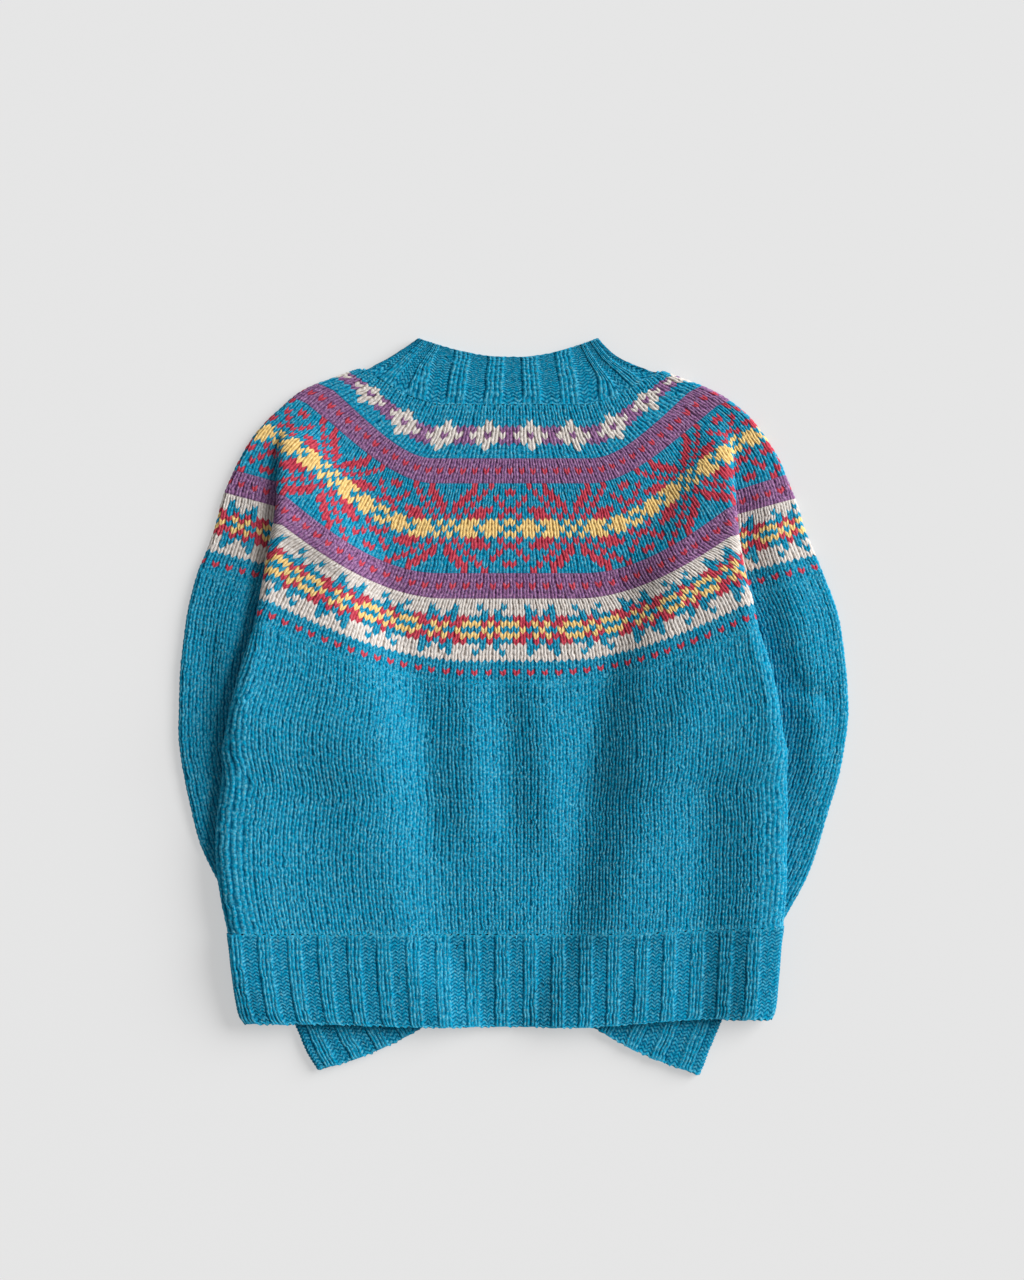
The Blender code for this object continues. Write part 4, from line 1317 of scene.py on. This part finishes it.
# Fibres that show in a yarn: noise along the thread or over the object, its scale, offset and
# detail, the range that shows, and the sockets of their share and colour.
Fibres = namedtuple("Fibres", "place scale offset detail low high share colour")
fibreKinds = (
    Fibres("thread", 1.0, 1.3, 1.0, 0.44, 0.66, "Pale Share", "Pale"),
    Fibres("thread", 1.0, 5.9, 1.0, 0.46, 0.68, "Deep Share", "Deep"),
    Fibres("object", 1150.0, 3.7, 1.0, 0.54, 0.70, "Speck Share", "Pale"),
    Fibres("object", 980.0, 6.2, 1.0, 0.54, 0.70, "Speck Share", "Deep"),
    Fibres("object", 700.0, 8.1, 0.0, 0.60, 0.72, "Fleck Share", "Fleck"),
)
threadScale = (3.4, 1.7, 0.0)    # streaks to a stitch and to a row
fibreRoughness = 0.65


def heatherGroup():
    # a spun yarn of mixed fibres: paler and deeper streaks along the thread, fine specks
    # and a few flecks of another colour; Place counts stitches and rows, Depth keeps the pale fibres to the
    # thread tops
    group, given, result = socketGroup("heatherYarn", (
        ("Yarn", colourSocket), ("Pale", colourSocket), ("Deep", colourSocket), ("Fleck", colourSocket),
        ("Pale Share", numberSocket, 0.5), ("Deep Share", numberSocket, 0.5),
        ("Speck Share", numberSocket, 0.4), ("Fleck Share", numberSocket, 0.3),
        ("Place", vectorSocket), ("Depth", numberSocket, 1.0)), (("Colour", colourSocket),))
    places = {"object": addNode(group, "ShaderNodeTexCoord").outputs["Object"],
              "thread": scaleNode(group, given["Place"], threadScale)}
    colour = given["Yarn"]
    for kind in fibreKinds:
        noise = addNode(group, "ShaderNodeTexNoise", {
            "Vector": places[kind.place], "W": kind.offset, "Scale": kind.scale, "Detail": kind.detail,
            "Roughness": fibreRoughness}, noise_dimensions="4D").outputs["Fac"]
        amount = mathNode(group, "MULTIPLY", rangeNode(group, noise, kind.low, kind.high), given[kind.share])
        if kind.colour != "Deep":    # the heather's real pale fibres, shown only towards the thread tops: painted shade in the gaps and painted light on the tops
            amount = mathNode(group, "MULTIPLY", amount, given["Depth"])
        colour = mixNode(group, amount, colour, given[kind.colour])
    group.links.new(colour, result["Colour"])
    return group


def grooveGroup():
    # painted shade in the gaps between the threads: the yarn colour is darkened towards the Shade colour,
    # where Depth 0 is deep and 1 on top
    group, given, result = socketGroup("grooveShade", (
        ("Colour", colourSocket), ("Depth", numberSocket, 1.0), ("Shade", colourSocket),
        ("Reach", numberSocket, 0.8)), (("Colour", colourSocket),))
    lit = rangeNode(group, given["Depth"], 0.0, given["Reach"])
    shade = mixNode(group, lit, given["Shade"], (1, 1, 1, 1))
    group.links.new(scaleNode(group, given["Colour"], shade), result["Colour"])
    return group


def fibreGroup():
    # fine loose fibres on the yarn, as a normal
    group, given, result = socketGroup("woolFibre", (
        ("Height", numberSocket, 0.0003), ("Base", numberSocket, 0.0)), (("Normal", vectorSocket),))
    where = addNode(group, "ShaderNodeTexCoord").outputs["Object"]
    fine = addNode(group, "ShaderNodeTexNoise", {
        "Vector": where, "Scale": 1500.0, "Detail": 3.0, "Roughness": fibreRoughness,
        "Distortion": 1.2}).outputs["Fac"]
    bump = addNode(group, "ShaderNodeBump", {
        "Strength": 0.9, "Height": mathNode(group, "ADD", fine, given["Base"]), "Distance": given["Height"]})
    group.links.new(bump.outputs["Normal"], result["Normal"])
    return group


def flatStitchGroup():
    # the height of knit stitches drawn on a plain surface, from its place counted in stitches
    group, given, result = socketGroup("flatStitch", (
        ("Place", vectorSocket), ("Slant", numberSocket, 0.84)), (("Height", numberSocket),))

    def worked(operation, first, second=0.0):
        return mathNode(group, operation, first, second)

    split = addNode(group, "ShaderNodeSeparateXYZ", {"Vector": given["Place"]}).outputs
    across = worked("FRACT", split["X"])
    lean = worked("MULTIPLY", worked("ABSOLUTE", worked("SUBTRACT", across, 0.5)), given["Slant"])
    up = worked("FRACT", worked("SUBTRACT", split["Y"], lean))
    legs = worked("ABSOLUTE", worked("SINE", worked("MULTIPLY", across, 2 * math.pi)))
    rounds = worked("SINE", worked("MULTIPLY", up, math.pi))
    plump = worked("ADD", worked("MULTIPLY", rounds, 0.6), 0.4)
    group.links.new(worked("MULTIPLY", worked("POWER", legs, 0.6), plump), result["Height"])
    return group


heather, groove, fibre, flatStitch = heatherGroup(), grooveGroup(), fibreGroup(), flatStitchGroup()

# Base colours of the yarns, their paler, deeper and odd fibres, how much of each shows, and the colour of
# the painted shade in the gaps between the threads.
yarnColours = {
    "teal": {"yarn": (0.001, 0.296, 0.490), "pale": (0.140, 0.53, 0.69), "deep": (0.000, 0.13, 0.26),
             "fleck": (0.23, 0.47, 0.48), "shares": (0.65, 0.75, 0.55, 0.6), "shade": (0.15, 0.36, 0.45)},
    "purple": {"yarn": (0.305, 0.137, 0.300), "pale": (0.54, 0.33, 0.52), "deep": (0.09, 0.040, 0.11),
               "fleck": (0.10, 0.12, 0.30), "shares": (0.75, 0.80, 0.5, 0.5), "shade": (0.40, 0.34, 0.42)},
    "red": {"yarn": (0.590, 0.060, 0.092), "pale": (0.80, 0.17, 0.20), "deep": (0.30, 0.02, 0.06),
            "fleck": (0.55, 0.10, 0.25), "shares": (0.5, 0.6, 0.3, 0.2), "shade": (0.42, 0.30, 0.38)},
    "yellow": {"yarn": (0.940, 0.655, 0.245), "pale": (0.98, 0.82, 0.44), "deep": (0.64, 0.38, 0.12),
               "fleck": (0.80, 0.60, 0.30), "shares": (0.5, 0.5, 0.25, 0.2), "shade": (0.46, 0.36, 0.28)},
    "cream": {"yarn": (0.740, 0.690, 0.645), "pale": (0.89, 0.86, 0.83), "deep": (0.45, 0.38, 0.345),
              "fleck": (0.60, 0.48, 0.38), "shares": (0.6, 0.5, 0.3, 0.3), "shade": (0.42, 0.37, 0.33)},
}
yarnNames = ("teal", "purple", "red", "yellow", "cream")
wool = {"roughness": 0.95, "sheen": 0.15, "sheenRoughness": 0.3, "specular": 0.03,
        "fibreHeight": 0.00025, "flatHeight": 0.0012}


def woolMaterial(name, colours, flat):
    material = bpy.data.materials.new(name)
    material.use_nodes = True
    tree = material.node_tree
    place = addNode(tree, "ShaderNodeUVMap", uv_map="stitches").outputs["UV"]
    depth = addNode(tree, "ShaderNodeAttribute", attribute_name="depth").outputs["Fac"]
    given = {key.capitalize(): (*colours[key], 1) for key in ("yarn", "pale", "deep", "fleck")}
    given.update(zip(("Pale Share", "Deep Share", "Speck Share", "Fleck Share"), colours["shares"]))
    given.update(Place=place, Depth=depth)
    mixed = addNode(tree, "ShaderNodeGroup", given, node_tree=heather).outputs["Colour"]
    # painted shade in the gaps between the threads, from the depth attribute
    shaded = addNode(tree, "ShaderNodeGroup", {"Colour": mixed, "Depth": depth,
                                               "Shade": (*colours["shade"], 1)}, node_tree=groove)
    hairs = addNode(tree, "ShaderNodeGroup", {"Height": wool["fibreHeight"]}, node_tree=fibre)
    if flat:
        drawn = addNode(tree, "ShaderNodeGroup", {"Place": place}, node_tree=flatStitch)
        tree.links.new(drawn.outputs["Height"], hairs.inputs["Base"])
        hairs.inputs["Height"].default_value = wool["flatHeight"]
    shader = tree.nodes["Principled BSDF"].inputs
    tree.links.new(shaded.outputs["Colour"], shader["Base Color"])
    tree.links.new(hairs.outputs["Normal"], shader["Normal"])
    shader["Roughness"].default_value = wool["roughness"]
    shader["Specular IOR Level"].default_value = wool["specular"]
    shader["Sheen Weight"].default_value = wool["sheen"]
    shader["Sheen Roughness"].default_value = wool["sheenRoughness"]
    shader["Sheen Tint"].default_value = (*colours["pale"], 1)
    return material


yarns = [woolMaterial(name, yarnColours[name], False) for name in yarnNames]
yarns += [woolMaterial(name + "Flat", yarnColours[name], True) for name in yarnNames]
print("yarns ready")


def makeLayers(name, ending, places, midsAt, sharesOf, bands):
    # a stitched front and a plain back
    top, under = (surfacesOf(places, midsAt, sharesOf, faces) for faces in (topFaces, underFaces))
    return (makeStrip(name + "Front" + ending, top, bands, yarns, True),
            makeStrip(name + "Back" + ending, under, bands, yarns, False))


yoke = makeTube("yokeKnit", surfacesOf(yokePlaces, yokeMids, byLength(yokeMiddle), tubeFaces),
                yokeStitches(), yarns)
bodyFront, bodyBack = makeLayers("body", "Knit", bodyPlaces, bodyMids, byLength(bodyMiddle), bodyBand)
print("yoke and body ready")

hemBand = [ribBand(evenRows(hemRows, ribRowHeight), hemRibs)]
hemFront, hemBack = makeLayers("hem", "Rib", rowTable(hemRows), hemMids, ribShares, hemBand)

# the neckband's rows run from its upper edge down
collarLevels = np.linspace(collarRows[0].centreY, collarRows[-1].centreY, collarRibs["rows"] + 1)
collarBand = [ribBand(placesAt(collarLevels, collarRows[::-1]), collarRibs)]
collar = makeTube("collarRib", surfacesOf(rowTable(collarRows), collarMids, ribShares, tubeFaces),
                  collarBand, yarns)
print("hem and neckband ready")

sleeves, cuffs = {}, {}
for name in sides:
    places = rowTable(sleeveTables[name])
    surfaces = surfacesOf(places, sleeveMids(name), fromOuterEdge, tubeFaces)
    bands = sleeveBands(name, places, surfaces["front"])
    sleeves[name] = makeTube(name + "SleeveKnit", surfaces, bands, yarns)
    places = rowTable(cuffRows[name])
    bands = [ribBand(rowsAlong(cuffRows[name], ribRowHeight, sleeveGuide), cuffRibs)]
    surfaces = surfacesOf(places, cuffMids(name), ribShares, tubeFaces)
    cuffs[name] = makeTube(name + "CuffRib", surfaces, bands, yarns)
print("sleeves and cuffs ready")

# What each piece stands for:
# CAD node, material slot, flat width and length of the cut in metres (all round on a tube),
# its area where it isn't a rectangle, and the pieces that it lies on
cuts = (
    (sleeves["left"], "sleeve_left", "plain_knit", (0.291, 0.358), 0.0815, ()),
    (sleeves["right"], "sleeve_right", "plain_knit", (0.305, 0.362), 0.0841, ()),
    (cuffs["left"], "cuff_left", "rib_knit", (0.187, 0.072), 0.0130, ()),
    (cuffs["right"], "cuff_right", "rib_knit", (0.199, 0.071), 0.0136, ()),
    (bodyBack, "body_back", "plain_knit", (0.460, 0.268), 0.0979, sleeves.values()),
    (bodyFront, "body_front", "plain_knit", (0.484, 0.268), 0.1021, sleeves.values()),
    (hemBack, "hem_back", "rib_knit", (0.451, 0.075), 0.0324, [*sleeves.values(), *cuffs.values()]),
    (hemFront, "hem_front", "rib_knit", (0.451, 0.075), 0.0324, [hemBack]),
    (yoke, "yoke", "fair_isle_knit", (1.438, 0.229), 0.2125, ()),
    (collar, "collar", "rib_knit", (0.528, 0.062), 0.0175, ()),
)
for piece, node, slotName, flat, area, restsOn in cuts:
    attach(piece, "root")
    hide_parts(node)

# a lit table that softens the shadows, just under the cloth
table = {"size": 8, "drop": 0.0004, "colour": 0.32, "glow": 0.453, "roughness": 0.9}
bpy.ops.mesh.primitive_plane_add(size=table["size"], location=(0, 0, -table["drop"]))
floor = bpy.context.object
floor.name = "paleFloor"
paper = bpy.data.materials.new("palePaper")
paper.use_nodes = True
shader = paper.node_tree.nodes["Principled BSDF"].inputs
shader["Base Color"].default_value = (table["colour"], table["colour"], table["colour"], 1)
shader["Roughness"].default_value = table["roughness"]
shader["Emission Color"].default_value = (1, 1, 1, 1)
shader["Emission Strength"].default_value = table["glow"]
floor.data.materials.append(paper)

light = {"height": 27, "from": 26, "soft": 42, "key": 4.9, "sky": 0.30}    # degrees, then strengths
world = bpy.data.worlds.new("studio")
world.use_nodes = True
sky = world.node_tree.nodes["Background"].inputs
sky["Color"].default_value = (1, 1, 1, 1)
sky["Strength"].default_value = light["sky"]
bpy.context.scene.world = world
keyLight = bpy.data.lights.new("keyLight", "SUN")
keyLight.angle = math.radians(light["soft"])
keyLight.energy = light["key"]
key = bpy.data.objects.new("keyLight", keyLight)
key.rotation_euler = (math.radians(90 - light["height"]), 0, math.radians(90 + light["from"]))
key.location = (1, 1, 1)
bpy.context.collection.objects.link(key)

view = {"centre": (-0.0008, 0.0542), "distance": 2.61, "surface": 0.012, "tall": 1.024, "sensor": 36.0}
lens = bpy.data.cameras.new("camera")
lens.sensor_width = view["sensor"]
lens.lens = view["sensor"] * (view["distance"] - view["surface"]) / view["tall"]
camera = bpy.data.objects.new("camera", lens)
camera.location = (*view["centre"], view["distance"])
bpy.context.collection.objects.link(camera)
bpy.context.scene.camera = camera
bpy.context.scene.view_settings.view_transform = "Standard"
